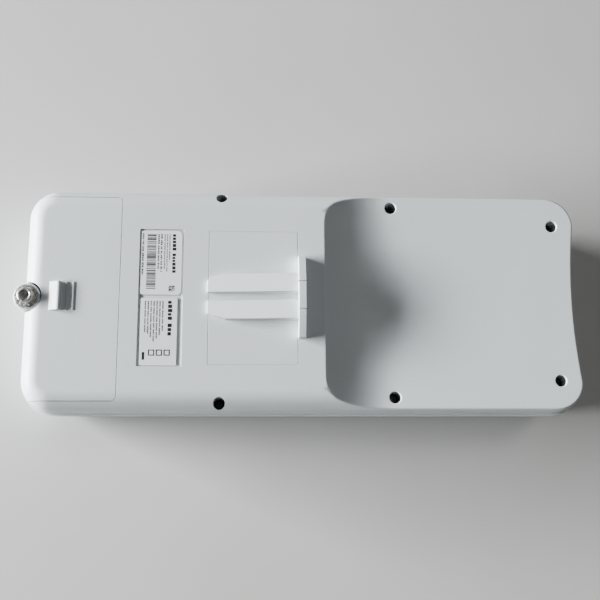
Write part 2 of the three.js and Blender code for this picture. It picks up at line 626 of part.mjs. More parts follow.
function lightGuide() {
  const { x0, x1, y0, pitch, count } = LEDS;
  const z0 = BOARD_TOP + GAP;
  const bar = box(x1 - 1.6, x1, y0 - 1, y0 + pitch * (count - 1) + 1, z0, z0 + 2.2);
  const fingers = range(0, count - 1, count - 1).map((i) =>
    box(x0, x1 - 1, y0 + pitch * i - 0.7, y0 + pitch * i + 0.7, z0, z0 + 2.2));
  return join([bar, ...fingers]);
}

function heatsink() {
  const { x0, x1, half, z0, finTop, fins } = SINK;
  const base = box(x0, x1, -half, half, z0, z0 + 2);
  const pitch = (2 * half - 1) / (fins - 1);
  const blades = range(0, fins - 1, fins - 1).map((i) =>
    box(x0, x1, -half + pitch * i, -half + pitch * i + 1, z0 + 1, finTop));
  return join([base, ...blades]);
}

function shieldCan() {
  const z0 = BOARD_TOP + GAP;
  const block = box(CAN.x0, CAN.x1, CAN.y0, CAN.y1, z0, z0 + CAN.height);
  const dimples = [-1, 0, 1].map((i) => {
    const x = (CAN.x0 + CAN.x1) / 2 + i * 7;
    return cylinder(x, (CAN.y0 + CAN.y1) / 2, z0 + CAN.height - 0.4, z0 + 10, 1.4, 12);
  });
  return block.subtract(join(dimples));
}

function coaxSocket(y) {
  const z0 = BOARD_TOP + GAP;
  return turned(COAX_X, y, [[0, z0], [2.3, z0], [2.3, z0 + 1.2], [1.7, z0 + 1.2],
    [1.7, z0 + 3.1], [0, z0 + 3.1]], 14);
}

function coaxLead(y) {
  const z0 = BOARD_TOP + GAP + 3.4;
  return tube([
    [COAX_X, y, z0], [COAX_X + 0.6, y, z0 + 2], [COAX_X + 8, y, z0 + 4.2],
    [COAX_X + 20, y, z0 + 1], [COAX_HOLE_X - 2.4, y, 30], [COAX_HOLE_X, y, 24],
    [COAX_HOLE_X, y, FEED.z + FEED.thickness + 0.4]], 0.9, 28);
}

function groundLead() {
  return tube([
    [LEAD_START + GAP, 0, 30.7], [LEAD_START + 6, 0, 30.4], [-140, -1.5, 28.2],
    [-124, -2.5, 28.2], [-112, -1, 29.6], [-103.5, 0, 30.2], [-100, 0, 31.4],
    [-99.6, 0, BOARD.z - GAP]], 1.1, 26);
}

// ---- labels and seals -----------------------------------------------------------------
function label({ x0, x1, y0, y1, corner }) {
  const z = CASE.backZ - RECESS.depth + GAP;
  return prism(roundedRectangle(x0, x1, y0, y1, corner), z, z + 0.3, 5);
}

function cableEntryPlug() {
  const wallLean = CASE.frontDraft * (CASE.lipZ - ENTRY.z + ENTRY.beadR);
  const inside = CASE.nearX + CASE.wall + wallLean + GAP;
  const outside = CASE.nearX - 0.3;
  const profile = [[0, outside - 1.6], [6.6, outside - 1.6], [7.4, outside - 0.8],
    [7.4, outside], [ENTRY.holeR - GAP, outside], [ENTRY.holeR - GAP, inside], [ENTRY.beadR, inside],
    [5.6, inside + 2.2], [0, inside + 2.2]];
  const shape = profile.map(([r, x]) => new THREE.Vector2(r, x));
  const geometry = new THREE.LatheGeometry(shape, 24);
  geometry.rotateZ(-Math.PI / 2);
  geometry.translate(0, ENTRY.y, ENTRY.z);
  return toSolid(geometry);
}

// ---- assembly -----------------------------------------------------------------------
const group = new THREE.Group();

function add(name, solid, material) {
  const mesh = new THREE.Mesh(toGeometry(solid), material);
  mesh.name = name;
  group.add(mesh);
}

add('front_radome', frontRadome(), white);
add('rear_shell', rearShell(), white);
add('port_door', portDoor(), white);
mirrored(CASE_SCREWS).forEach(([x, y], i) => {
  add(`case_screw_${i + 1}`, panScrew(x, y, WELL.floorZ + GAP, 3, 2.4, 1.6, 20, 1.35), steel);
});

add('ground_screw', groundScrew(), steel);
add('ground_plain_washer', plainWasher(), steel);
add('ground_toothed_washer', toothedWasher(), steel);
add('ground_insert', groundInsert(), brass);
add('ground_lug', groundLug(), brass);
add('ground_lead', groundLead(), cableYellow);
add('cable_entry_plug', cableEntryPlug(), blackRubber);

add('serial_label', label(LABELS.serial), paper);
add('rating_label', label(LABELS.rating), paper);

add('reflector_tray', reflectorTray(), aluminium);
REFLECTOR_FIXINGS.forEach(([x, y], i) => {
  const seat = REFLECTOR.z + REFLECTOR.sheet + GAP;
  add(`reflector_screw_${i + 1}`, panScrew(x, y, seat, 2.8, 2, 1.3, 10, 1.1), steel);
});
add('feed_board', feedBoard(), laminate);
for (let i = 0; i < PATCH.count; i += 1) {
  add(`radiator_patch_${i + 1}`, radiatorPatch(i), aluminium);
  add(`patch_post_${i + 1}`, patchPost(i), nylon);
}

add('router_board', routerBoard(), circuitGreen);
STANDOFFS.forEach(([x, y], i) => {
  add(`board_standoff_${i + 1}`, boardStandoff(x, y), brass);
  add(`board_screw_${i + 1}`, panScrew(x, y, BOARD_TOP + GAP, 2.8, 2, 1.3, 26, 1.1), steel);
});
add('ethernet_jack', ethernetJack(), steel);
add('fibre_cage', fibreCage(), steel);
add('fibre_dust_plug', dustPlug(), blackRubber);
add('reset_switch', resetSwitch(), blackPlastic);
add('reset_button', resetButton(), nylon);
add('light_guide', lightGuide(), clearPlastic);
add('processor', box(CHIP.x0, CHIP.x1, -CHIP.half, CHIP.half, BOARD_TOP + GAP, CHIP.top),
  blackPlastic);
add('thermal_pad', box(CHIP.x0, CHIP.x1, -CHIP.half, CHIP.half, PAD.z0, PAD.z1), padGrey);
add('heatsink', heatsink(), aluminium);
add('radio_shield_can', shieldCan(), steel);
COAX_Y.forEach((y, i) => {
  add(`coax_socket_${i + 1}`, coaxSocket(y), brass);
  add(`coax_lead_${i + 1}`, coaxLead(y), cableBrown);
});

group.position.z = -CASE.frontZ;

export default group;
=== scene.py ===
import json
import math
import random

import bmesh
import bpy
from mathutils import Matrix, Vector
from mathutils.geometry import delaunay_2d_cdt


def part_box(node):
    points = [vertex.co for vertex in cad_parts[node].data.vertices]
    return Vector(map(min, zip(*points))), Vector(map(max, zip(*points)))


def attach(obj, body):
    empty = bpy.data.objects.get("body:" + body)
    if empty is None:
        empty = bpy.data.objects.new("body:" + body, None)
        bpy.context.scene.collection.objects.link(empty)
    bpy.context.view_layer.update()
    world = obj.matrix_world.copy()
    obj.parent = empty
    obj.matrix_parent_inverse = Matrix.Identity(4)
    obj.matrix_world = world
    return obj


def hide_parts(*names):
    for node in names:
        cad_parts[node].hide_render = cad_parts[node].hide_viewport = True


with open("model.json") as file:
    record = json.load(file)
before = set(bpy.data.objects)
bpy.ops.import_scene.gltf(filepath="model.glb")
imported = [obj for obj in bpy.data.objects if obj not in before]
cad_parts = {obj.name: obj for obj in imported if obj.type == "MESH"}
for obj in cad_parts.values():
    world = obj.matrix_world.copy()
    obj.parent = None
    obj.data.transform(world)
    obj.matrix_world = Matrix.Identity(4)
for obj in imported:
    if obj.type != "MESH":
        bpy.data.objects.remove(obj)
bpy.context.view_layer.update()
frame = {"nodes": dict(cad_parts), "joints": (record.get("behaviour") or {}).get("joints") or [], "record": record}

# Lengths here are millimetres, in the frame's axes: +Z out of the back, +X away from the port door.
# Heights are counted from a plane LIFT above the front face, and finished() raises each piece by it.
MM = 0.001
BACK_Z = 52.5
HINGE = next(j for j in frame["joints"] if j["name"] == "door_hinge")
LIFT = Vector((0, 0, HINGE["pos_m"][2] / MM - BACK_Z))


def node_box(node):
    low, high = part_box(node)
    return low / MM - LIFT, high / MM - LIFT


RADOME_LOW, RADOME_HIGH = node_box("front_radome")
MOUNT = {m["name"]: Vector(m["pos_m"]) / MM for m in frame["record"]["mounts"]}

# ---- driving sizes of the moulded case ----------------------------------------------------
NEAR_X, FAR_X = -174, RADOME_HIGH.x
HALF_WIDTH = RADOME_HIGH.y
CORNER, END_BOW = 20, 3
LIP_Z, SEAM, LIP_STEP, LIP_ROUND = 31, 0.3, 1.2, 0.5
FRONT_Z, WALL = RADOME_LOW.z, 2.6
FRONT_ROUND, BACK_ROUND = 12, 11.5
FRONT_DRAFT, BACK_DRAFT = 0.075, 0.065
CORNER_STEPS, BOW_STEPS, ROUND_STEPS = 20, 20, 12

SCOOP_X, SCOOP_CORNER_Y, SCOOP_CORNER_R, SCOOP_ROLL = 9.5, 47, 25, 0.8
DECK_Z, RAMP_LENGTH, SIDE_RAMP_LENGTH, RAMP_POWER = 43, 50, 34, 2.3
CROWN, CROWN_HALF_WIDTH = 3.4, 67
RIM = 0.8

SIDES = (1, -1)
BACK_WELLS = [(-53.9, s * 63.9) for s in SIDES]
DECK_WELLS = [(x, s * y) for x, y in [(52.7, 60), (156.5, 49.5)] for s in SIDES]
WELLS = BACK_WELLS + DECK_WELLS
WELL_R, WELL_FLOOR, WELL_POST_R, WELL_RIM, SHANK_HOLE_R = 3.5, 33.6, 5.6, 0.5, 2.3

DOORWAY_X = HINGE["pos_m"][0] / MM + 0.4
DOORWAY_HALF, DOOR_CLEAR, DOOR_WALL, DOOR_CORNER = 62.9, 0.25, 2.4, 3
BOSS_X, BOSS_R, BOSS_TOP, BOSS_CORE_R, NOTCH_R = -170, 8.3, RADOME_HIGH.z, 3.3, 9.2
TAB_X = (-156.1, -151, -149.6, -149.3)
TAB_HEIGHT, TAB_HALF, TAB_RIB_X = 2.6, 8.75, (-145.8, -142)
RAIL_X = (-61.8, -50.8, -6.5)
RAIL_Y = (2.6, 10.2, 13.9)
RAIL_RISE = (2, 7.4)
PLATE_X = (MOUNT["bracket_plate_outer"].x, MOUNT["bracket_plate_inner"].x)
PLATE_HALF, PLATE_END_RISE, PLATE_RISE, PLATE_SLIT_Y = 25.2, 4.5, 10, 8.5
RECESS_X, RECESS_HALF, RECESS_DEPTH = (-103.2, -76.6), 42.3, 0.8
MOULD_X, MOULD_HALF, MOULD_WIDTH, MOULD_DEPTH = (-61.2, -6.6), 41.5, 0.35, 0.08
SKIRT_INSET, SKIRT_Z = (3.1, 4.3), (28.8, 32.6)
BULKHEAD_X, BULKHEAD_HALF, BULKHEAD_Z = (-109.8, -107.8), 66, (36.4, 52)
HOOK_Y, HOOK_HALF, HOOK_Z, HOOK_REACH = (-45, 0, 45), 4, (46.6, 48.8), 3.2
POST_R, PILOT_R, PILOT_Z = 4.5, 1.9, 14
SUPPORTS = [(x, y) for x in (-90, 138) for y in (38, -38)]
SUPPORT_R, SUPPORT_TOP, SUPPORT_PILOT_R, SUPPORT_PILOT_Z = 3.5, 19.7, 1.6, 8
FLOOR_RIB_X, FLOOR_RIB_HALF, FLOOR_RIB_HEIGHT = (-60, 0, 60, 120), 66, 5.2
ENTRY_R, LUG_SLOT_HALF, LUG_SLOT_Z = 6, 3.6, (29.6, 31.6)
FAR, HIGH = 200, 100


def clamp(value, low, high):
    return max(low, min(high, value))


def steps(start, stop, count):
    return [start + (stop - start) * i / count for i in range(count + 1)]


# ---- meshes and solids --------------------------------------------------------------------
def new_object(name, vertices, faces):
    mesh = bpy.data.meshes.new(name)
    mesh.from_pydata([tuple(v) for v in vertices], [], faces)
    thing = bpy.data.objects.new(name, mesh)
    bpy.context.scene.collection.objects.link(thing)
    return thing


def remove(thing):
    mesh = thing.data
    bpy.data.objects.remove(thing)
    bpy.data.meshes.remove(mesh)


def apply_modifiers(thing):
    bpy.context.view_layer.update()
    evaluated = thing.evaluated_get(bpy.context.evaluated_depsgraph_get())
    old, thing.data = thing.data, bpy.data.meshes.new_from_object(evaluated)
    thing.modifiers.clear()
    bpy.data.meshes.remove(old)
    return thing


def combine(base, tools, operation):
    for tool in tools:
        modifier = base.modifiers.new("combine", "BOOLEAN")
        modifier.operation = operation
        modifier.solver = "MANIFOLD"
        modifier.object = tool
    apply_modifiers(base)
    for tool in tools:
        remove(tool)
    return base


def join(base, *tools):
    return combine(base, tools, "UNION")


def cut(base, *tools):
    return combine(base, tools, "DIFFERENCE")


def common(base, *tools):
    return combine(base, tools, "INTERSECT")


def loft(rings):
    """The skin through closed rings of equal length, capped at both ends."""
    count = len(rings[0])
    faces = [tuple(reversed(range(count)))]
    for level in range(len(rings) - 1):
        for i in range(count):
            a, b = level * count + i, level * count + (i + 1) % count
            faces.append((a, b, b + count, a + count))
    last = (len(rings) - 1) * count
    faces.append(tuple(range(last, last + count)))
    return new_object("loft", [p for ring in rings for p in ring], faces)


def at_height(points, z):
    return [(x, y, z) for x, y in points]


def prism(outline, z0, z1):
    """An anticlockwise outline in X and Y, raised from z0 to z1."""
    return loft([at_height(outline, z0), at_height(outline, z1)])


def block(x0, x1, y0, y1, z0, z1):
    return prism([(x0, y0), (x1, y0), (x1, y1), (x0, y1)], z0, z1)


def side_prism(points, y0, y1):
    """A clockwise profile in X and Z, drawn out along Y."""
    return loft([[(x, y, z) for x, z in points] for y in (y0, y1)])


def end_prism(points, x0, x1):
    """An anticlockwise profile in Y and Z, drawn out along X."""
    return loft([[(x, y, z) for y, z in points] for x in (x0, x1)])


def turned(points, sides=48, radius_at=lambda r, z, i: r):
    """A piece turned about Z; points are (radius, z), from the axis at the bottom to the axis on top."""
    vertices = [(0, 0, points[0][1])]
    for r, z in points[1:-1]:
        for i in range(sides):
            angle = 2 * math.pi * i / sides
            here = radius_at(r, z, i)
            vertices.append((here * math.cos(angle), here * math.sin(angle), z))
    vertices.append((0, 0, points[-1][1]))
    top, faces = len(vertices) - 1, []
    for i in range(sides):
        j = (i + 1) % sides
        faces.append((0, 1 + j, 1 + i))
        for level in range(len(points) - 3):
            a, b = 1 + level * sides + i, 1 + level * sides + j
            faces.append((a, b, b + sides, a + sides))
        faces.append((top - sides + i, top - sides + j, top))
    return new_object("turned", vertices, faces)


def moved(thing, x=0, y=0, z=0, turn=Matrix.Identity(4)):
    thing.data.transform(Matrix.Translation((x, y, z)) @ turn)
    return thing


def drum(x, y, r, z0, z1, sides=48):
    return moved(turned([(0, z0), (r, z0), (r, z1), (0, z1)], sides), x, y)


LAID_ALONG_X = Matrix.Rotation(math.pi / 2, 4, "Y")


def end_drum(x0, x1, y, z, r, sides=40):
    return moved(turned([(0, 0), (r, 0), (r, x1 - x0), (0, x1 - x0)], sides), x0, y, z, LAID_ALONG_X)


def soften(thing, width, angle=30, segments=3):
    """Rounds every edge of a clean solid that turns by more than angle degrees."""
    mesh = bmesh.new()
    mesh.from_mesh(thing.data)
    bmesh.ops.remove_doubles(mesh, verts=mesh.verts, dist=1e-3)
    bmesh.ops.dissolve_limit(mesh, angle_limit=math.radians(0.5), verts=mesh.verts, edges=mesh.edges)
    edges = [e for e in mesh.edges if e.is_manifold and e.calc_face_angle() > math.radians(angle)]
    bmesh.ops.bevel(mesh, geom=edges, offset=width, segments=segments, profile=0.5,
                    affect="EDGES", clamp_overlap=True)
    mesh.to_mesh(thing.data)
    mesh.free()
    return thing


def finished(thing, name, body, material, slot, *nodes, origin=(0, 0, 0), angle=30):
    """Turns a solid in millimetres into a piece of the model that stands for its CAD nodes."""
    thing.name = thing.data.name = name
    thing.data.transform(Matrix.Scale(MM, 4) @ Matrix.Translation(-Vector(origin)))
    thing.location = (Vector(origin) + LIFT) * MM
    thing.data.materials.clear()
    thing.data.materials.append(material)
    thing.data.shade_smooth()
    thing.data.set_sharp_from_angle(angle=math.radians(angle))
    normals = thing.modifiers.new("normals", "WEIGHTED_NORMAL")
    normals.keep_sharp = True
    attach(thing, body)
    if nodes:
        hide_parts(*nodes)
    return thing


# ---- outlines -----------------------------------------------------------------------------
def arc(cx, cy, r, start, stop, count):
    return [(cx + r * math.cos(math.radians(t)), cy + r * math.sin(math.radians(t)))
            for t in steps(start, stop, count)]


def rounded_rectangle(x0, x1, y0, y1, r, count=6):
    return [*arc(x1 - r, y1 - r, r, 0, 90, count), *arc(x0 + r, y1 - r, r, 90, 180, count),
            *arc(x0 + r, y0 + r, r, 180, 270, count), *arc(x1 - r, y0 + r, r, 270, 360, count)]


def between(a, b, count):
    """Points inside the straight line from a to b, without its ends."""
    return [(a[0] + (b[0] - a[0]) * t, a[1] + (b[1] - a[1]) * t) for t in steps(0, 1, count)[1:-1]]


def bowed_outline(x0, x1, half_width, corner, side_steps, end_steps):
    """Anticlockwise, with rounded corners; the +X end is bowed inwards."""
    bow_half = half_width - corner
    bow = [(x1 - END_BOW * (1 - (y / bow_half) ** 2), y)
           for y in steps(-bow_half, bow_half, BOW_STEPS)[1:-1]]
    top_right = arc(x1 - corner, half_width - corner, corner, 0, 90, CORNER_STEPS)
    top_left = arc(x0 + corner, half_width - corner, corner, 90, 180, CORNER_STEPS)
    low_left = [(x, -y) for x, y in reversed(top_left)]
    low_right = [(x, -y) for x, y in reversed(top_right)]
    return [*bow, *top_right, *between(top_right[-1], top_left[0], side_steps),
            *top_left, *between(top_left[-1], low_left[0], end_steps),
            *low_left, *between(low_left[-1], low_right[0], side_steps), *low_right]


def case_outline(inset, side_steps=1, end_steps=1):
    r = max(CORNER - inset, 1.5)
    return bowed_outline(NEAR_X + inset, FAR_X - inset, HALF_WIDTH - inset, r, side_steps, end_steps)


def dense_outline(inset):
    return case_outline(inset, 110, 14)


def doorway_outline(edge_x, half, r):
    """Open towards the port end, with two rounded inner corners."""
    return [(-FAR, -half), *arc(edge_x - r, r - half, r, -90, 0, 10),
            *arc(edge_x - r, half - r, r, 0, 90, 10), (-FAR, half)]


def rounded_case(inset, start_z, end_z, round_r, draft, lead=0):
    """A wall that leans in from the seam, then turns through a quarter round to a flat at end_z."""
    up = 1 if end_z > start_z else -1
    bend_z = end_z - up * round_r
    bend_inset = inset + draft * abs(bend_z - start_z)
    rings = [at_height(case_outline(inset + lead * (1 - math.sin(t))),
                       start_z + up * lead * (1 - math.cos(t)))
             for t in steps(0, math.pi / 2, 3)] if lead else [at_height(case_outline(inset), start_z)]
    for t in steps(0, math.pi / 2, ROUND_STEPS):
        rings.append(at_height(case_outline(bend_inset + round_r * (1 - math.cos(t))),
                               bend_z + up * round_r * math.sin(t)))
    return loft(rings if up > 0 else rings[::-1])


def case_back(wall=0):
    start = LIP_Z - 1 if wall else LIP_Z + SEAM
    return rounded_case(LIP_STEP + wall, start, BACK_Z - wall, BACK_ROUND - wall, BACK_DRAFT)


def case_front(wall=0):
    start = LIP_Z + 1 if wall else LIP_Z
    return rounded_case(wall, start, FRONT_Z + wall, FRONT_ROUND - wall, FRONT_DRAFT,
                        0 if wall else LIP_ROUND)


# ---- the scooped back ---------------------------------------------------------------------
def rim_x(y):
    """Where the ramp starts: straight in the middle, bent back at its ends."""
    past = max(abs(y) - SCOOP_CORNER_Y, 0)
    return SCOOP_X + SCOOP_CORNER_R - math.sqrt(max(SCOOP_CORNER_R ** 2 - past ** 2, 0))


def top_height(x, y, wall=0):
    """The flat back, the ramp rolling down from its rim, the deck; or the inside of their wall."""
    side = (y / CROWN_HALF_WIDTH) ** 2
    length = RAMP_LENGTH - (RAMP_LENGTH - SIDE_RAMP_LENGTH) * side
    deck = DECK_Z + CROWN * side
    fall = BACK_Z - deck
    steepest = fall * RAMP_POWER / length
    run = x - rim_x(y)
    if run < SCOOP_ROLL:
        run = max(run, 0)
        z, slope = BACK_Z - steepest * run ** 2 / (2 * SCOOP_ROLL), steepest * run / SCOOP_ROLL
    else:
        left = clamp(1 - (run - SCOOP_ROLL / 2) / length, 0, 1)
        z, slope = deck + fall * left ** RAMP_POWER, steepest * left ** (RAMP_POWER - 1)
    return z - wall * math.sqrt(1 + slope * slope)


def back_walls(wall, rim):
    """Rings from the seam up the wall and its quarter round, then over the rim onto the top."""
    radius = BACK_ROUND - wall
    start, bend_z = (LIP_Z - 1 if wall else LIP_Z + SEAM), BACK_Z - wall - radius
    bend_inset = LIP_STEP + wall + BACK_DRAFT * (bend_z - start)
    levels = 48
    angles = steps(0, math.pi / 2, levels)
    table = [dense_outline(bend_inset + radius * (1 - math.cos(t))) for t in angles]
    foot = dense_outline(LIP_STEP + wall)
    count = len(foot)

    def at(i, t):
        level = min(int(t / angles[1]), levels - 1)
        share = t / angles[1] - level
        a, b = table[level][i], table[level + 1][i]
        return Vector((a[0] + (b[0] - a[0]) * share, a[1] + (b[1] - a[1]) * share,
                       bend_z + radius * math.sin(t)))

    def meeting(i):
        """The angle at which the quarter round comes up through the top."""
        before = -1
        for t in angles:
            p = at(i, t)
            gap = p.z - top_height(p.x, p.y, wall)
            if gap >= 0:
                return t - angles[1] * gap / (gap - before)
            before = gap
        return math.pi / 2

    ends = [meeting(i) for i in range(count)]
    peaks = [at(i, t) for i, t in enumerate(ends)]
    inward = []
    for i in range(count):
        ahead = peaks[(i + 1) % count] - peaks[i - 1]
        inward.append(Vector((-ahead.y, ahead.x, 0)).normalized())

    def on_top(i, run):
        p = peaks[i] + inward[i] * run
        return Vector((p.x, p.y, top_height(p.x, p.y, wall)))

    rings = [at_height(foot, start)]
    for share in steps(0, 1, ROUND_STEPS):
        rings.append([at(i, (ends[i] - rim / radius) * share) for i in range(count)])
    before_rim = rings[-1]
    for u in steps(0, 1, 5)[1:]:
        rings.append([before_rim[i] * (1 - u) ** 2 + peaks[i] * 2 * u * (1 - u) + on_top(i, rim) * u ** 2
                      for i in range(count)])
    rings.append([on_top(i, rim + 1) for i in range(count)])
    return rings


def well_rings(x, y):
    """Circles from the deck round a screw well's rim and down to its floor."""
    def circle(r, drop):
        points = [(x + px, y + py) for px, py in arc(0, 0, r, 0, 360, 40)[:-1]]
        return [(px, py, top_height(px, py) - drop) for px, py in points]

    rings = [circle(WELL_R + WELL_RIM + 0.8, 0)]
    for t in steps(math.pi / 2, 0, 4):
        rings.append(circle(WELL_R + WELL_RIM * (1 - math.cos(t)), WELL_RIM * (1 - math.sin(t))))
    rings.append([(px, py, WELL_FLOOR) for px, py, z in rings[-1]])
    return rings


def top_points(border, wells):
    """Places inside the border for the triangles of the rim, ramp and deck to follow."""
    places = [(rim_x(y) + run, y) for y in steps(-64, 64, 64)
              for run in (-0.4, 0, SCOOP_ROLL / 2, SCOOP_ROLL, SCOOP_ROLL * 2)]
    places += [(x, y) for x in [*steps(12, 62, 34), *steps(66, 170, 20)] for y in steps(-64, 64, 26)
               if x - rim_x(y) > SCOOP_ROLL * 2 + 0.7]
    for place in places:
        here = Vector(place)
        near_well = any((here - Vector(well)).length < WELL_R + WELL_RIM + 2 for well in wells)
        if not near_well and inside_of(here, border) and min((here - p).length for p in border) > 0.9:
            yield here


def back_solid(wall=0):
    """One closed skin: walls, rim, and a triangulated top that follows the back, ramp and deck."""
    walls = back_walls(wall, 0.05 if wall else RIM)
    centres = [] if wall else DECK_WELLS
    count = len(walls[0])
    vertices = [p for ring in walls for p in ring]
    faces = [tuple(reversed(range(count)))]

    def skin(first, levels, size):
        for level in range(levels - 1):
            for i in range(size):
                a = first + level * size + i
                b = first + level * size + (i + 1) % size
                faces.append((a, b, b + size, a + size))

    skin(0, len(walls), count)
    edges = [list(range(len(vertices) - count, len(vertices)))]
    for x, y in centres:
        rings = well_rings(x, y)
        first, size = len(vertices), len(rings[0])
        for ring in rings:
            vertices.extend(ring)
        skin(first, len(rings), size)
        faces.append(tuple(range(len(vertices) - size, len(vertices))))
        edges.append(list(range(first, first + size)))
    flat = [Vector(vertices[i][:2]) for loop in edges for i in loop]
    source = [i for loop in edges for i in loop]
    loops, start = [], 0
    for loop in edges:
        loops.append(list(range(start, start + len(loop))))
        start += len(loop)
    for place in top_points(flat[:count], centres):
        flat.append(place)
        source.append(len(vertices))
        vertices.append((place.x, place.y, top_height(place.x, place.y, wall)))
    _, _, triangles, originals, _, owners = delaunay_2d_cdt(flat, [], loops, 1, 1e-7)
    for triangle, owner in zip(triangles, owners):
        if owner == [0]:
            faces.append([source[originals[i][0]] for i in triangle])
    return new_object("back", vertices, faces)


def inside_of(point, polygon):
    x, y = point
    inside = False
    for a, b in zip(polygon, polygon[1:] + polygon[:1]):
        if (a.y > y) != (b.y > y) and x < a.x + (y - a.y) / (b.y - a.y) * (b.x - a.x):
            inside = not inside
    return inside


# ---- rear shell ---------------------------------------------------------------------------
def mount_rail(side):
    """One of the bracket's rails, tapered at its start and rising towards the plate."""
    outline = [(RAIL_X[2], RAIL_Y[0]), (RAIL_X[2], RAIL_Y[2]), (RAIL_X[1], RAIL_Y[2]),
               (RAIL_X[0], RAIL_Y[1]), (RAIL_X[0], RAIL_Y[0])]
    outline = [(x, side * y) for x, y in (outline if side > 0 else outline[::-1])]
    span = RAIL_X[2] - RAIL_X[0]
    climb = RAIL_RISE[1] - RAIL_RISE[0]
    top = [(x, y, BACK_Z + RAIL_RISE[0] + climb * (x - RAIL_X[0]) / span) for x, y in outline]
    return soften(loft([at_height(outline, BACK_Z - 1), top]), 0.3)


def mount_plate():
    """The bowed plate that the bracket stops against, with a slit over each rail."""
    rise = PLATE_RISE - PLATE_END_RISE
    r = (PLATE_HALF ** 2 + rise ** 2) / (2 * rise)
    swing = math.degrees(math.asin(PLATE_HALF / r))
    outline = [(-PLATE_HALF, BACK_Z - 1), (PLATE_HALF, BACK_Z - 1),
               *arc(0, BACK_Z + PLATE_RISE - r, r, 90 - swing, 90 + swing, 48)]
    plate = soften(end_prism(outline, *PLATE_X), 0.4, 25)
    top = BACK_Z + PLATE_RISE
    slits = [block(PLATE_X[0] - 1, PLATE_X[1] + 1, y - half, y + half, top - depth, top + 1)
             for y, half, depth in [(PLATE_SLIT_Y, 0.3, 3), (-PLATE_SLIT_Y, 0.2, 1.9)]]
    return cut(plate, *slits)


def mould_line():
    """A shallow rectangular groove round the rails."""
    (x0, x1), z0, z1 = MOULD_X, BACK_Z - MOULD_DEPTH, BACK_Z + 1
    inner = MOULD_HALF - MOULD_WIDTH
    return cut(block(x0, x1, -MOULD_HALF, MOULD_HALF, z0, z1),
               block(x0 + MOULD_WIDTH, x1 - MOULD_WIDTH, -inner, inner, z0 - 1, z1 + 1))


def port_windows():
    """Holes through the bulkhead for the sockets, the reset button and the light guide."""
    clear = 0.6
    x0, x1 = BULKHEAD_X[0] - 1, BULKHEAD_X[1] + 1
    windows = []
    for node in ("ethernet_jack", "fibre_cage"):
        low, high = node_box(node)
        windows.append(block(x0, x1, low.y - clear, high.y + clear, 30, high.z + clear))
    low, high = node_box("reset_button")
    windows.append(end_drum(x0, x1, 0, (low.z + high.z) / 2, 2.4))
    low, high = node_box("light_guide")
    windows.append(block(x0, x1, low.y - clear, high.y + clear, 30, 38))
    return windows


def rear_shell():
    outer, cavity = back_solid(), back_solid(WALL)
    cut(cavity, *[drum(x, y, WELL_POST_R, LIP_Z + SEAM, HIGH) for x, y in WELLS])
    shell = cut(outer, cavity)
    skirt = cut(prism(case_outline(SKIRT_INSET[0]), *SKIRT_Z),
                prism(case_outline(SKIRT_INSET[1]), SKIRT_Z[0] - 1, SKIRT_Z[1] + 1),
                *[drum(x, y, POST_R + 0.7, LIP_Z - 10, LIP_Z) for x, y in WELLS])
    bulkhead = common(block(*BULKHEAD_X, -BULKHEAD_HALF, BULKHEAD_HALF, *BULKHEAD_Z), case_back(0.5))
    join(shell, skirt, bulkhead)
    cut(shell, prism(doorway_outline(DOORWAY_X, DOORWAY_HALF, DOOR_CORNER + DOOR_CLEAR), 20, HIGH),
        *port_windows())
    cut(shell, *[drum(x, y, WELL_R, WELL_FLOOR, HIGH) for x, y in BACK_WELLS])
    cut(shell, *[drum(x, y, SHANK_HOLE_R, WELL_FLOOR - 8, WELL_FLOOR + 6) for x, y in WELLS])
    cut(shell, block(*RECESS_X, -RECESS_HALF, RECESS_HALF, BACK_Z - RECESS_DEPTH, HIGH), mould_line())
    return join(shell, mount_rail(1), mount_rail(-1), mount_plate())


# ---- port door ----------------------------------------------------------------------------
def port_door():
    edge, half = DOORWAY_X - DOOR_CLEAR, DOORWAY_HALF - DOOR_CLEAR
    panel = cut(case_back(), case_back(DOOR_WALL))
    common(panel, prism(doorway_outline(edge, half, DOOR_CORNER), LIP_Z + SEAM + 0.2, HIGH))
    top = BACK_Z + TAB_HEIGHT
    x0, ridge0, ridge1, x1 = TAB_X
    tab = side_prism([(x0, BACK_Z - 1), (x0, BACK_Z + 0.3), (ridge0, top), (ridge1 - 0.4, top),
                      (ridge1, top - 0.4), (x1, BACK_Z + 1), (x1, BACK_Z - 1)], -TAB_HALF, TAB_HALF)
    soften(tab, 0.25, 20)
    ribs = [soften(block(x - 0.5, x + 0.5, -TAB_HALF, TAB_HALF, BACK_Z - 1, BACK_Z + 0.45), 0.15)
            for x in TAB_RIB_X]
    hooks = []
    for y in HOOK_Y:
        sides = (y - HOOK_HALF, y + HOOK_HALF)
        stem = block(edge - 6, edge - 2, *sides, HOOK_Z[0], BACK_Z - 1)
        hooks.append(soften(join(stem, block(edge - 6, edge + HOOK_REACH, *sides, *HOOK_Z)), 0.3))
    join(panel, tab, *ribs, *hooks)
    return cut(panel, drum(BOSS_X, 0, NOTCH_R, 20, HIGH, 96),
               block(-FAR, BOSS_X, -NOTCH_R, NOTCH_R, 20, HIGH))


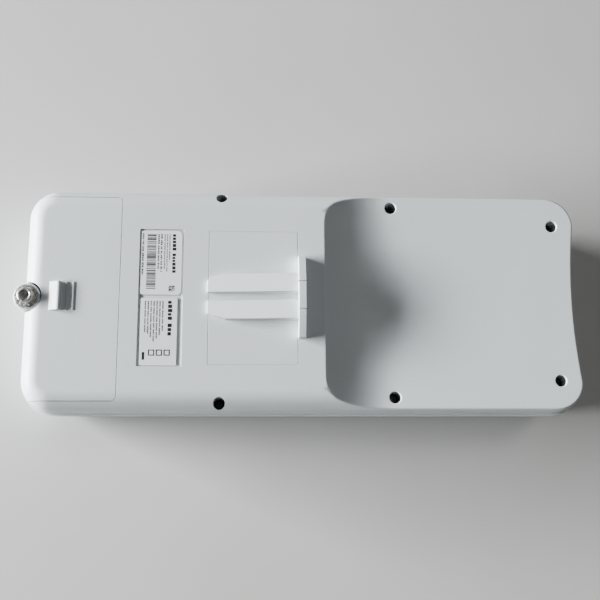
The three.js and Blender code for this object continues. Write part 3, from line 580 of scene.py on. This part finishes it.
# ---- front radome -------------------------------------------------------------------------
def front_radome():
    shell = cut(case_front(), case_front(WALL))
    floor_z = FRONT_Z + 1
    posts = [drum(x, y, POST_R, floor_z, LIP_Z - 2 * SEAM, 32) for x, y in WELLS]
    for post in posts:
        common(post, case_front())
    supports = [drum(x, y, SUPPORT_R, floor_z, SUPPORT_TOP, 28) for x, y in SUPPORTS]
    ribs = [common(block(x - 0.8, x + 0.8, -FLOOR_RIB_HALF, FLOOR_RIB_HALF, floor_z,
                         FRONT_Z + FLOOR_RIB_HEIGHT), case_front()) for x in FLOOR_RIB_X]
    rim = [(BOSS_R - 0.6 + 0.6 * math.cos(t), BOSS_TOP - 0.6 + 0.6 * math.sin(t))
           for t in steps(0, math.pi / 2, 4)]
    boss = moved(turned([(0, 6), (4.8, 6), (BOSS_R, 14), *rim, (0, BOSS_TOP)], 96), BOSS_X)
    join(shell, *posts, *supports, *ribs, boss)
    pilots = [drum(x, y, PILOT_R, PILOT_Z, LIP_Z + 1, 24) for x, y in WELLS]
    pilots += [drum(x, y, SUPPORT_PILOT_R, SUPPORT_PILOT_Z, SUPPORT_TOP + 1.3, 20) for x, y in SUPPORTS]
    low, high = node_box("cable_entry_plug")
    entry_y, entry_z = (low.y + high.y) / 2, (low.z + high.z) / 2
    return cut(shell, *pilots, drum(BOSS_X, 0, BOSS_CORE_R, 29.5, BOSS_TOP + 1),
               block(BOSS_X, BOSS_X + 10, -LUG_SLOT_HALF, LUG_SLOT_HALF, *LUG_SLOT_Z),
               end_drum(NEAR_X - 6, NEAR_X + 14, entry_y, entry_z, ENTRY_R, 48))


# ---- materials ----------------------------------------------------------------------------
class Surface:
    """A material built from noise and waves in the piece's own space, in metres."""

    def __init__(self, name, colour, roughness, metallic=0.0, **sockets):
        self.material = bpy.data.materials.new(name)
        self.material.use_nodes = True
        self.nodes = self.material.node_tree.nodes
        self.shader = self.nodes["Principled BSDF"]
        self.colour = colour
        self.shader.inputs["Base Color"].default_value = (*colour, 1)
        self.shader.inputs["Roughness"].default_value = roughness
        self.shader.inputs["Metallic"].default_value = metallic
        for socket, value in sockets.items():
            self.shader.inputs[socket.replace("_", " ")].default_value = value
        self.place = self.nodes.new("ShaderNodeTexCoord").outputs["Object"]
        self.normal = None

    def join(self, source, target):
        self.material.node_tree.links.new(source, target)

    def node(self, kind, settings=(), **inputs):
        made = self.nodes.new("ShaderNode" + kind)
        for key, value in dict(settings).items():
            setattr(made, key, value)
        for key, value in inputs.items():
            socket = made.inputs[key.replace("_", " ")]
            if isinstance(value, bpy.types.NodeSocket):
                self.join(value, socket)
            else:
                socket.default_value = value
        return made

    def stretched(self, scale):
        return self.node("Mapping", Vector=self.place, Scale=scale).outputs["Vector"]

    def noise(self, scale, detail=2.0, rough=0.5, stretch=None):
        place = self.stretched(stretch) if stretch else self.place
        made = self.node("TexNoise", Vector=place, Scale=scale, Detail=detail, Roughness=rough)
        return made.outputs["Fac"]

    def cells(self, scale):
        return self.node("TexVoronoi", Vector=self.place, Scale=scale).outputs["Distance"]

    def span(self, value, low, high, to_low=0.0, to_high=1.0):
        made = self.node("MapRange", Value=value)
        for key, number in zip(("From Min", "From Max", "To Min", "To Max"),
                               (low, high, to_low, to_high)):
            made.inputs[key].default_value = number
        return made.outputs["Result"]

    def math(self, operation, a, b=0.0):
        made = self.nodes.new("ShaderNodeMath")
        made.operation = operation
        for socket, value in zip(made.inputs, (a, b)):
            if isinstance(value, bpy.types.NodeSocket):
                self.join(value, socket)
            else:
                socket.default_value = value
        return made.outputs[0]

    def mix(self, share, a, b):
        made = self.nodes.new("ShaderNodeMix")
        made.data_type = "RGBA"
        self.join(share, made.inputs["Factor"])
        for socket, value in zip((made.inputs[6], made.inputs[7]), (a, b)):
            if isinstance(value, bpy.types.NodeSocket):
                self.join(value, socket)
            else:
                socket.default_value = (*value, 1)
        return made.outputs[2]

    def paint(self, colour):
        self.join(colour, self.shader.inputs["Base Color"])
        return self

    def tone(self, share, low, high):
        """The base colour from low to high times its own value."""
        return self.paint(self.mix(share, [c * low for c in self.colour],
                                   [min(1, c * high) for c in self.colour]))

    def gloss(self, share, low, high):
        self.join(self.span(share, 0.3, 0.7, low, high), self.shader.inputs["Roughness"])
        return self

    def rounded(self, radius):
        """Edges finer than the mesh catch light as a small radius does."""
        made = self.node("Bevel", {"samples": 4}, Radius=radius)
        self.normal = made.outputs["Normal"]
        return self

    def relief(self, height, strength, depth):
        made = self.node("Bump", Height=height, Strength=strength, Distance=depth)
        if self.normal is not None:
            self.join(self.normal, made.inputs["Normal"])
        self.normal = made.outputs["Normal"]
        self.join(self.normal, self.shader.inputs["Normal"])
        return self


def case_plastic():
    """Moulded, spark-eroded texture, with faint flow marks and handling marks."""
    made = Surface("case_plastic_look", (0.735, 0.76, 0.772), 0.46)
    made.rounded(0.00022)
    grain = made.noise(2600, 3)
    flow = made.noise(9, 3, 0.6, (1, 0.35, 1))
    speckle = made.cells(900)
    made.tone(made.span(made.math("ADD", flow, made.math("MULTIPLY", speckle, 0.25)), 0.4, 0.85),
              0.965, 1.03)
    rub = made.noise(55, 6, 0.7)
    made.gloss(made.math("ADD", made.math("MULTIPLY", rub, 0.7), made.math("MULTIPLY", grain, 0.3)),
               0.38, 0.54)
    made.relief(made.span(made.cells(1500), 0, 0.7), 0.22, 0.00003)
    return made.relief(grain, 0.3, 0.00004).material


def steel(name="steel_look", colour=(0.78, 0.77, 0.73), low=0.3, high=0.55):
    """Plated steel with fine turning marks about the piece's own Z axis."""
    made = Surface(name, colour, 0.3, 1.0)
    made.rounded(0.00008)
    parts = made.node("SeparateXYZ", Vector=made.place).outputs
    radius = made.math("SQRT", made.math("ADD", made.math("MULTIPLY", parts["X"], parts["X"]),
                                         made.math("MULTIPLY", parts["Y"], parts["Y"])))
    rings = made.math("SINE", made.math("MULTIPLY", radius, 42000.0))
    stains = made.noise(700, 5, 0.65)
    made.tone(made.span(stains, 0.35, 0.65), 0.62, 1.12)
    made.gloss(stains, low, high)
    made.relief(rings, 0.12, 0.00002)
    return made.relief(made.noise(5200, 2), 0.15, 0.00002).material


def sheet_metal(name, colour, roughness, grain=(1, 14, 14)):
    """Rolled sheet, with fine lines along X."""
    made = Surface(name, colour, roughness, 1.0)
    made.rounded(0.0001)
    lines = made.noise(420, 4, 0.6, grain)
    made.tone(made.span(made.noise(60, 4), 0.3, 0.7), 0.88, 1.06)
    made.gloss(lines, roughness - 0.08, roughness + 0.12)
    return made.relief(lines, 0.12, 0.00002).material


def moulding(name, colour, roughness, bump=0.25, scale=1800, **sockets):
    """A small plastic or rubber part: fine grain, faint blotches."""
    made = Surface(name, colour, roughness, **sockets)
    made.rounded(0.0001)
    made.tone(made.span(made.noise(240, 4), 0.3, 0.7), 0.88, 1.1)
    made.gloss(made.noise(600, 3), roughness - 0.07, roughness + 0.08)
    return made.relief(made.noise(scale, 3), bump, 0.00003).material


def solder_mask():
    """Green lacquer over copper tracks, which show as raised and lighter lines."""
    made = Surface("solder_mask_look", (0.012, 0.10, 0.045), 0.3)
    tracks = made.node("TexBrick", {"offset": 0.37, "squash": 0.6, "squash_frequency": 3},
                       Vector=made.place, Scale=260, Mortar_Size=0.035, Brick_Width=0.9,
                       Row_Height=0.28).outputs["Fac"]
    patches = made.span(made.cells(160), 0.25, 0.3)
    copper = made.math("MULTIPLY", tracks, patches)
    made.paint(made.mix(copper, (0.010, 0.085, 0.038), (0.03, 0.19, 0.085)))
    made.gloss(made.noise(90, 3), 0.24, 0.36)
    return made.relief(copper, 0.4, 0.00004).material


def weave(name, colour):
    """Glass-cloth laminate: two crossed waves of threads."""
    made = Surface(name, colour, 0.5)
    waves = [made.node("TexWave", {"bands_direction": axis}, Vector=made.place, Scale=330,
                       Distortion=0.6, Detail=1.0).outputs["Fac"] for axis in ("X", "Y")]
    cloth = made.math("MULTIPLY", *waves)
    made.tone(made.span(cloth, 0, 1), 0.85, 1.08)
    made.gloss(made.noise(120, 3), 0.42, 0.6)
    return made.relief(cloth, 0.35, 0.00004).material


def label_film():
    made = Surface("label_film_look", (0.86, 0.875, 0.875), 0.32)
    made.rounded(0.00008)
    made.tone(made.span(made.noise(70, 4), 0.3, 0.7), 0.97, 1.02)
    made.gloss(made.noise(300, 4), 0.26, 0.4)
    return made.relief(made.noise(190, 3), 0.12, 0.00004).material


def print_ink():
    """Thermal-transfer black, thin in places."""
    made = Surface("print_ink_look", (0.035, 0.035, 0.038), 0.42)
    made.paint(made.mix(made.span(made.noise(2300, 3), 0.45, 0.75), (0.028, 0.028, 0.031),
                        (0.13, 0.13, 0.135)))
    made.gloss(made.noise(900, 2), 0.36, 0.5)
    return made.relief(made.noise(3000, 2), 0.1, 0.00001).material


def clear_plastic():
    made = Surface("clear_plastic_look", (0.86, 0.9, 0.9), 0.12, Transmission_Weight=0.85, IOR=1.49)
    made.tone(made.span(made.noise(200, 3), 0.3, 0.7), 0.94, 1.02)
    made.gloss(made.noise(500, 3), 0.06, 0.2)
    return made.relief(made.noise(1500, 2), 0.1, 0.00002).material


PLASTIC = case_plastic()
STEEL = steel()
# Painted shade: the pan screws' steel is coloured far darker than plated steel, standing for the shade down in the
# deep screw wells; the board screws use the same darkened steel.
WELL_SHADE_STEEL = steel("well_shade_steel_look", (0.2, 0.2, 0.195), 0.3, 0.45)
SHEET_STEEL = sheet_metal("tinned_sheet_look", (0.66, 0.66, 0.64), 0.3)
ALUMINIUM = sheet_metal("aluminium_look", (0.77, 0.78, 0.79), 0.34)
BRASS = steel("brass_look", (0.75, 0.57, 0.28), 0.2, 0.34)
COPPER = steel("copper_look", (0.80, 0.45, 0.28), 0.26, 0.42)
GOLD = steel("gold_plating_look", (0.85, 0.66, 0.32), 0.16, 0.28)
RUBBER = moulding("black_rubber_look", (0.022, 0.022, 0.023), 0.72, 0.5)
BLACK_PLASTIC = moulding("black_plastic_look", (0.03, 0.03, 0.033), 0.45)
NYLON = moulding("nylon_look", (0.80, 0.78, 0.69), 0.42, 0.2)
PAD = moulding("thermal_pad_look", (0.42, 0.45, 0.47), 0.8, 0.5, 1200)
YELLOW = moulding("yellow_jacket_look", (0.42, 0.47, 0.05), 0.4, 0.15)
BROWN = moulding("brown_jacket_look", (0.14, 0.06, 0.025), 0.36, 0.15)
CERAMIC = moulding("chip_ceramic_look", (0.33, 0.24, 0.16), 0.5, 0.2)
MASK = solder_mask()
LAMINATE = weave("laminate_look", (0.66, 0.57, 0.34))
CLEAR = clear_plastic()
FILM = label_film()
INK = print_ink()


# ---- labels -------------------------------------------------------------------------------
PRINT_RISE = 0.04


def strips(name, boxes, z0, z1):
    """Many thin blocks in one mesh; boxes are (x0, x1, y0, y1)."""
    vertices, faces = [], []
    for x0, x1, y0, y1 in boxes:
        first = len(vertices)
        for z in (z0, z1):
            vertices += [(x0, y0, z), (x1, y0, z), (x1, y1, z), (x0, y1, z)]
        faces += [tuple(first + i for i in face) for face in
                  [(3, 2, 1, 0), (4, 5, 6, 7), (0, 1, 5, 4), (1, 2, 6, 5), (2, 3, 7, 6), (3, 0, 4, 7)]]
    return new_object(name, vertices, faces)


def word_row(dice, x, width, start, length, letter, gap, space_every):
    """A line of plain marks from start towards -Y, as small print looks from afar."""
    boxes, y, run = [], start, 0
    while y > start - length:
        size = letter * dice.uniform(0.6, 1.25)
        boxes.append((x, x + width * dice.uniform(0.75, 1), y - size, y))
        y -= size + gap
        run += 1
        if run >= space_every * dice.uniform(0.6, 1.4):
            y -= letter
            run = 0
    return boxes


def bar_pattern(dice, x0, x1, start, length):
    boxes, y = [], start
    while y > start - length:
        bar = dice.choice((0.22, 0.22, 0.44, 0.66))
        boxes.append((x0, x1, y - bar, y))
        y -= bar + dice.choice((0.24, 0.24, 0.42, 0.6))
    return boxes


def dot_square(dice, x0, y1, size, cells):
    pitch = size / cells
    spots = [(i, j) for i in range(cells) for j in range(cells)
             if i == 0 or j == 0 or dice.random() < 0.5]
    return [(x0 + i * pitch, x0 + (i + 0.92) * pitch, y1 - (j + 0.92) * pitch, y1 - j * pitch)
            for i, j in spots]


def frame_square(x0, y1, size, line):
    x1, y0 = x0 + size, y1 - size
    return [(x0, x1, y1 - line, y1), (x0, x1, y0, y0 + line),
            (x0, x0 + line, y0 + line, y1 - line), (x1 - line, x1, y0 + line, y1 - line)]


def serial_print(x, y):
    """Bars, number rows, a heading row and a dot square, none of which says anything."""
    dice = random.Random(11)
    return [
        *word_row(dice, x + 1.2, 1.0, y - 1.8, 26, 0.75, 0.3, 4),
        *bar_pattern(dice, x + 4.1, x + 9.6, y - 2.2, 34),
        *word_row(dice, x + 10.7, 0.9, y - 2.2, 22, 0.75, 0.32, 4),
        *word_row(dice, x + 12.4, 1.0, y - 2.2, 23.5, 0.75, 0.32, 2),
        *word_row(dice, x + 14.5, 0.7, y - 2.2, 22, 0.5, 0.3, 6),
        *word_row(dice, x + 16.0, 0.7, y - 2.2, 23, 0.5, 0.3, 6),
        *word_row(dice, x + 17.5, 0.7, y - 2.2, 17, 0.5, 0.3, 6),
        *word_row(dice, x + 19.6, 2.1, y - 2.2, 23.5, 1.5, 0.55, 5),
        *dot_square(dice, x + 17.8, y - 34.6, 3.6, 10),
    ]


def rating_print(x, y):
    """A heading row, seven rows of small print and plain squares."""
    dice = random.Random(23)
    rows = [box for i in range(7)
            for box in word_row(dice, x + 2.4 + 1.75 * i, 0.8, y - 1.8, 25 - 2.2 * abs(3 - i),
                                0.5, 0.22, 7)]
    marks = [box for i in range(3) for box in frame_square(x + 5.2 + 4.6 * i, y - 31.5, 3.6, 0.55)]
    return [*rows, *word_row(dice, x + 16.4, 2.6, y - 1.8, 21, 1.7, 0.6, 4), *marks,
            (x + 1.6, x + 2.9, y - 37.6, y - 33)]


def label(node, corner, boxes_of):
    """A film with print that stands a hair above it; boxes_of starts from its corner at low X, high Y."""
    low, high = node_box(node)
    face = high.z - PRINT_RISE
    outline = rounded_rectangle(low.x, high.x, low.y, high.y, corner)
    film = soften(prism(outline, low.z, face), 0.06)
    finished(film, node + "_film", "case", FILM, "label_stock", node)
    marks = strips(node + "_marks", boxes_of(low.x, high.y), face - 0.01, high.z)
    return finished(marks, node + "_print", "case", INK, "label_stock")


# ---- fasteners ----------------------------------------------------------------------------
def ring_of(count, radius_at):
    """An outline whose radius follows its angle."""
    angles = [2 * math.pi * i / count for i in range(count)]
    return [(radius_at(a) * math.cos(a), radius_at(a) * math.sin(a)) for a in angles]


def pan_screw(node):
    """A pan head with a six-lobe recess, on a plain shank; its own Z axis is the screw's."""
    low, high = node_box(node)
    r = (high.x - low.x) / 2
    shank = r * 0.5
    rise = 2.4 if r > 2.9 else 2.0
    seat = high.z - rise
    dome = [(r * (0.62 + 0.38 * math.cos(t)), seat + rise * (0.35 + 0.65 * math.sin(t)))
            for t in steps(0, math.pi / 2, 6)]
    thread = []
    z = low.z + 1.5
    while z < seat - 0.8:
        thread += [(shank * 0.84, z), (shank, z + 0.25), (shank, z + 0.35), (shank * 0.84, z + 0.6)]
        z += 0.7
    screw = turned([(0, low.z), (shank * 0.5, low.z), (shank * 0.84, low.z + 1), *thread,
                    (shank * 0.84, seat), (r - 0.12, seat), (r, seat + 0.12), *dome,
                    (0, high.z)], 40)
    recess = ring_of(60, lambda angle: r * 0.42 - r * 0.07 * math.cos(6 * angle))
    cut(screw, prism(recess, high.z - 1.3, high.z + 1))
    x, y = (low.x + high.x) / 2, (low.y + high.y) / 2
    # The screw's steel is painted dark, standing for the shade in the screw wells.
    return finished(moved(screw, x, y), node + "_turned", "case", WELL_SHADE_STEEL, "steel", node,
                    origin=(x, y, low.z), angle=35)


HEAD_HEIGHT, SOCKET_DEPTH, SOCKET_FLATS, KNURL_DEPTH = 3.4, 2.2, 5, 0.16
WASHER_BORE_R, WASHER_TEETH = 2.8, 14


def ground_screw():
    low, high = node_box("ground_screw")
    seat, top, head_r = high.z - HEAD_HEIGHT, high.z, (high.x - low.x) / 2
    knurled = (seat + 0.5, top - 0.9)

    def knurl(r, z, i):
        on_side = r > head_r - 0.01 and knurled[0] - 0.01 < z < knurled[1] + 0.01
        return r - KNURL_DEPTH if on_side and i % 2 else r

    edge = [(head_r - 0.7 + 0.7 * math.cos(t), top - 0.7 + 0.7 * math.sin(t))
            for t in steps(0, math.pi / 2, 5)]
    screw = turned([(0, low.z), (1.7, low.z), (2.4, low.z + 1.2), (2.4, seat), (head_r - 0.25, seat),
                    (head_r, seat + 0.25), (head_r, knurled[0]), (head_r, knurled[1]), *edge, (0, top)],
                   96, knurl)
    hex_r = SOCKET_FLATS / math.sqrt(3)
    lead = turned([(0, top - 0.7), (hex_r - 0.4, top - 0.7), (hex_r + 0.45, top + 0.1), (0, top + 0.1)], 48)
    tip = turned([(0, top - 2.9), (0.05, top - 2.9), (2.3, top - 2.1), (0, top - 2.1)], 32)
    cut(screw, prism(ring_of(6, lambda angle: hex_r), top - SOCKET_DEPTH, top + 1), lead, tip)
    return finished(moved(screw, BOSS_X), "ground_screw_turned", "ground_screw_body", STEEL, "steel",
                    "ground_screw", origin=(BOSS_X, 0, seat), angle=35)


def ground_washers():
    """A toothed washer on a plain one, under the screw's head."""
    low, high = node_box("ground_plain_washer")
    plain = cut(soften(drum(0, 0, (high.x - low.x) / 2, low.z, high.z, 96), 0.18),
                drum(0, 0, WASHER_BORE_R, low.z - 1, high.z + 1, 48))
    finished(moved(plain, BOSS_X), "plain_washer_turned", "case", STEEL, "steel",
             "ground_plain_washer", origin=(BOSS_X, 0, low.z))
    low, high = node_box("ground_toothed_washer")
    outer = high.x - BOSS_X
    outline = []
    for i in range(WASHER_TEETH):
        for share, r in ((0, outer - 1), (0.12, outer), (0.62, outer), (0.74, outer - 1)):
            angle = (i + share) / WASHER_TEETH * 2 * math.pi
            outline.append((r * math.cos(angle), r * math.sin(angle)))
    toothed = cut(prism(outline, low.z, high.z),
                  drum(0, 0, WASHER_BORE_R, low.z - 1, high.z + 1, 48))
    finished(moved(soften(toothed, 0.1), BOSS_X), "toothed_washer_cut", "case", STEEL, "steel",
             "ground_toothed_washer", origin=(BOSS_X, 0, low.z))


# ---- what the case holds ------------------------------------------------------------------
def from_node(node):
    """A solid in millimetres that starts as a copy of a CAD node's mesh."""
    copy = bpy.data.objects.new(node + "_copy", frame["nodes"][node].data.copy())
    bpy.context.scene.collection.objects.link(copy)
    copy.data.transform(Matrix.Translation(-LIFT) @ Matrix.Scale(1 / MM, 4))
    mesh = bmesh.new()
    mesh.from_mesh(copy.data)
    bmesh.ops.remove_doubles(mesh, verts=mesh.verts, dist=1e-3)
    mesh.to_mesh(copy.data)
    mesh.free()
    return copy


def refined(node, material, slot, width=0.15, body="case"):
    """A CAD node's own shape, with its edges rounded."""
    low, high = node_box(node)
    origin = ((low.x + high.x) / 2, (low.y + high.y) / 2, low.z)
    return finished(soften(from_node(node), width), node + "_finished", body, material, slot, node,
                    origin=origin)


def smooth_lead(node, material, slot):
    """A CAD node's wire, made round."""
    lead = from_node(node)
    subdivision = lead.modifiers.new("round", "SUBSURF")
    subdivision.levels = subdivision.render_levels = 1
    apply_modifiers(lead)
    return finished(lead, node + "_drawn", "case", material, slot, node, angle=60)


def jack_contacts():
    """Eight sprung wires that slope down into the mouth of the network jack."""
    low, high = node_box("ethernet_jack")
    middle, pitch, half, thick = (low.y + high.y) / 2, 1.02, 0.17, 0.34
    route = ((low.x + 12.5, high.z - 1.6), (low.x + 8, high.z - 2.0), (low.x + 3.4, high.z - 4.6))
    wires = []
    for i in range(8):
        y0, y1 = middle + pitch * (i - 3.5) - half, middle + pitch * (i - 3.5) + half
        wires.append(loft([[(x, y0, z), (x, y1, z), (x, y1, z - thick), (x, y0, z - thick)]
                           for x, z in route]))
    for wire in wires[1:]:
        join(wires[0], wire)
    return finished(wires[0], "jack_contacts", "case", GOLD, "brass")


CHIP_SIZES = ((3, 4, 5), (3, 4, 6))
CAPACITOR_SIZES = ((1.6, 0.8), (0.8, 1.6), (1, 0.5), (0.5, 1), (2, 1.2))
TALL_PARTS = ("ethernet_jack", "fibre_cage", "reset_switch", "light_guide", "heatsink",
              "radio_shield_can", "coax_socket_1", "coax_socket_2",
              *[f"board_screw_{i}" for i in range(1, 5)])


def apart(a, b, gap):
    """Whether two boxes (x0, x1, y0, y1) keep a gap between them."""
    return a[1] + gap < b[0] or a[0] - gap > b[1] or a[3] + gap < b[2] or a[2] - gap > b[3]


def board_parts():
    """Chips and capacitors in the free places of the router board."""
    dice = random.Random(5)
    low, high = node_box("router_board")
    taken = [(a.x, b.x, a.y, b.y) for a, b in map(node_box, TALL_PARTS)]
    chips, capacitors = [], []
    for _ in range(900):
        is_chip = dice.random() < 0.12
        sx, sy = [dice.choice(s) for s in CHIP_SIZES] if is_chip else dice.choice(CAPACITOR_SIZES)
        x = dice.uniform(low.x + 4, high.x - 4)
        y = dice.uniform(low.y + 4, high.y - 4)
        here = (x - sx / 2, x + sx / 2, y - sy / 2, y + sy / 2)
        if all(apart(here, box, 1) for box in taken) and \
                all(apart(here, box, 0.5) for box in chips + capacitors):
            (chips if is_chip else capacitors).append(here)
    tall = strips("chips", chips, high.z + 0.05, high.z + 1.0)
    finished(tall, "board_chips", "case", BLACK_PLASTIC, "black_plastic")
    small = strips("capacitors", capacitors, high.z + 0.02, high.z + 0.6)
    finished(small, "board_capacitors", "case", CERAMIC, "black_plastic")


def feed_tracks():
    """Copper strips on the feed board that branch to the six patches."""
    low, high = node_box("feed_board")
    boxes = [(low.x + 6, high.x - 6, 15, 17.2)]
    for i in range(1, 7):
        a, b = node_box(f"radiator_patch_{i}")
        x = (a.x + b.x) / 2
        boxes.append((x - 0.8, x + 0.8, 4, 15))
    tracks = strips("tracks", boxes, high.z, high.z + 0.05)
    return finished(tracks, "feed_tracks", "case", COPPER, "brass")


def entry_plug():
    """A rubber plug turned about X: domed flange with a ring groove, neck, and a barb inside."""
    low, high = node_box("cable_entry_plug")
    centre = Vector((low.x, (low.y + high.y) / 2, (low.z + high.z) / 2))
    length = high.x - low.x
    groove = [(3.6, 0.55), (4.2, 0.25), (4.6, 0.25), (5.2, 0.55)]
    flange = [(6.9 + 0.5 * math.sin(t), 1.1 - 0.5 * math.cos(t)) for t in steps(0, math.pi / 2, 4)]
    plug = turned([(0, 0.55), *groove, (5.9, 0.0), (6.9, 0.0), *flange[2:], (7.4, 1.6),
                   (5.7, 1.6), (5.7, length - 2.2), (7, length - 2.2), (5.6, length - 0.3),
                   (5.3, length), (0, length)], 64)
    moved(plug, *centre, LAID_ALONG_X)
    return finished(plug, "entry_plug_moulded", "case", RUBBER, "black_rubber", "cable_entry_plug",
                    origin=centre, angle=40)


def dust_plug():
    """A CAD node's own shape, with its edges rounded and a grip groove on both sides."""
    low, high = node_box("fibre_dust_plug")
    plug = soften(from_node("fibre_dust_plug"), 0.35)
    middle_y, middle_z = (low.y + high.y) / 2, (low.z + high.z) / 2
    groove = cut(block(low.x - 1, low.x + 3.2, low.y - 1, high.y + 1, middle_z - 1.75, middle_z - 1.25),
                 block(low.x - 2, low.x + 4, middle_y - 2.9, middle_y + 2.9, low.z - 1, high.z + 1))
    cut(plug, groove)
    return finished(plug, "dust_plug_moulded", "dust_plug_body", RUBBER, "black_rubber",
                    "fibre_dust_plug", origin=(low.x, middle_y, middle_z))


# ---- the object ---------------------------------------------------------------------------
finished(rear_shell(), "rear_moulding", "case", PLASTIC, "case_plastic", "rear_shell")
finished(port_door(), "door_moulding", "door", PLASTIC, "case_plastic", "port_door")
finished(front_radome(), "radome_moulding", "case", PLASTIC, "case_plastic", "front_radome")
label("serial_label", 2.5, serial_print)
label("rating_label", 0.6, rating_print)
ground_screw()
ground_washers()
for name in sorted(n for n in frame["nodes"] if "_screw_" in n and not n.startswith("ground")):
    pan_screw(name)
for name in ["ground_insert", "ground_lug", "coax_socket_1", "coax_socket_2",
             *[f"board_standoff_{i}" for i in range(1, 5)]]:
    refined(name, BRASS, "brass", 0.12)
for name in ["reflector_tray", "heatsink", *[f"radiator_patch_{i}" for i in range(1, 7)]]:
    refined(name, ALUMINIUM, "aluminium", 0.2)
for name in ("ethernet_jack", "fibre_cage", "radio_shield_can"):
    refined(name, SHEET_STEEL, "steel", 0.2)
for i in range(1, 7):
    refined(f"patch_post_{i}", NYLON, "nylon", 0.15)
refined("reset_button", NYLON, "nylon", 0.3, "reset_plunger")
refined("reset_switch", BLACK_PLASTIC, "black_plastic", 0.15)
refined("processor", BLACK_PLASTIC, "black_plastic", 0.15)
refined("thermal_pad", PAD, "thermal_pad", 0.1)
refined("light_guide", CLEAR, "clear_plastic", 0.2)
refined("router_board", MASK, "circuit_green", 0.1)
refined("feed_board", LAMINATE, "feed_laminate", 0.1)
smooth_lead("ground_lead", YELLOW, "yellow_jacket")
smooth_lead("coax_lead_1", BROWN, "brown_jacket")
smooth_lead("coax_lead_2", BROWN, "brown_jacket")
jack_contacts()
board_parts()
feed_tracks()
entry_plug()
dust_plug()


# ---- camera, light and floor --------------------------------------------------------------
def aim(thing, place, target):
    thing.location = Vector(place)
    thing.rotation_euler = (Vector(target) - Vector(place)).to_track_quat("-Z", "Y").to_euler()


def camera():
    """Stands above the port end and looks a little along the case."""
    data = bpy.data.cameras.new("camera")
    data.sensor_width, data.lens = 36, 54
    data.shift_y = -0.0083
    eye = bpy.data.objects.new("camera", data)
    bpy.context.scene.collection.objects.link(eye)
    turn = (Matrix.Rotation(-0.00835, 3, "Z") @ Matrix.Rotation(0.06301, 3, "Y")
            @ Matrix.Rotation(-0.21355, 3, "X"))
    eye.matrix_world = Matrix.Translation((-0.04007, -0.11442, 0.60739)) @ turn.transposed().to_4x4()
    bpy.context.scene.camera = eye


def lamp(name, place, target, size, energy, colour):
    data = bpy.data.lights.new(name, "AREA")
    data.shape = "RECTANGLE"
    data.size, data.size_y = size
    data.energy, data.color = energy, colour
    thing = bpy.data.objects.new(name, data)
    bpy.context.scene.collection.objects.link(thing)
    aim(thing, place, target)


def studio():
    """A low window past the port end, a small lamp overhead and a faint sky."""
    scene = bpy.context.scene
    scene.view_settings.view_transform = "AgX"
    scene.view_settings.look = "AgX - High Contrast"
    world = bpy.data.worlds.new("studio")
    scene.world = world
    world.use_nodes = True
    sky = world.node_tree.nodes["Background"]
    sky.inputs["Color"].default_value = (0.92, 0.96, 1.0, 1)
    sky.inputs["Strength"].default_value = 0.085
    lamp("window", (-3.0, 0.25, 0.78), (0, 0, 0.05), (2.0, 0.5), 300, (0.95, 0.98, 1.0))
    lamp("ceiling", (0.95, 0.55, 2.2), (0.08, 0, 0.06), (0.6, 0.6), 6, (1.0, 0.985, 0.97))


def floor():
    """Pale matt board, a little uneven."""
    made = Surface("floor_look", (0.62, 0.61, 0.59), 0.7)
    made.tone(made.span(made.noise(6, 4), 0.3, 0.7), 0.97, 1.03)
    made.relief(made.noise(900, 2), 0.1, 0.0001)
    half = 3000
    corners = [(-half, -half, 0), (half, -half, 0), (half, half, 0), (-half, half, 0)]
    board = new_object("floor_board", corners, [(0, 1, 2, 3)])
    board.data.transform(Matrix.Scale(MM, 4))
    board.data.materials.append(made.material)


camera()
studio()
floor()
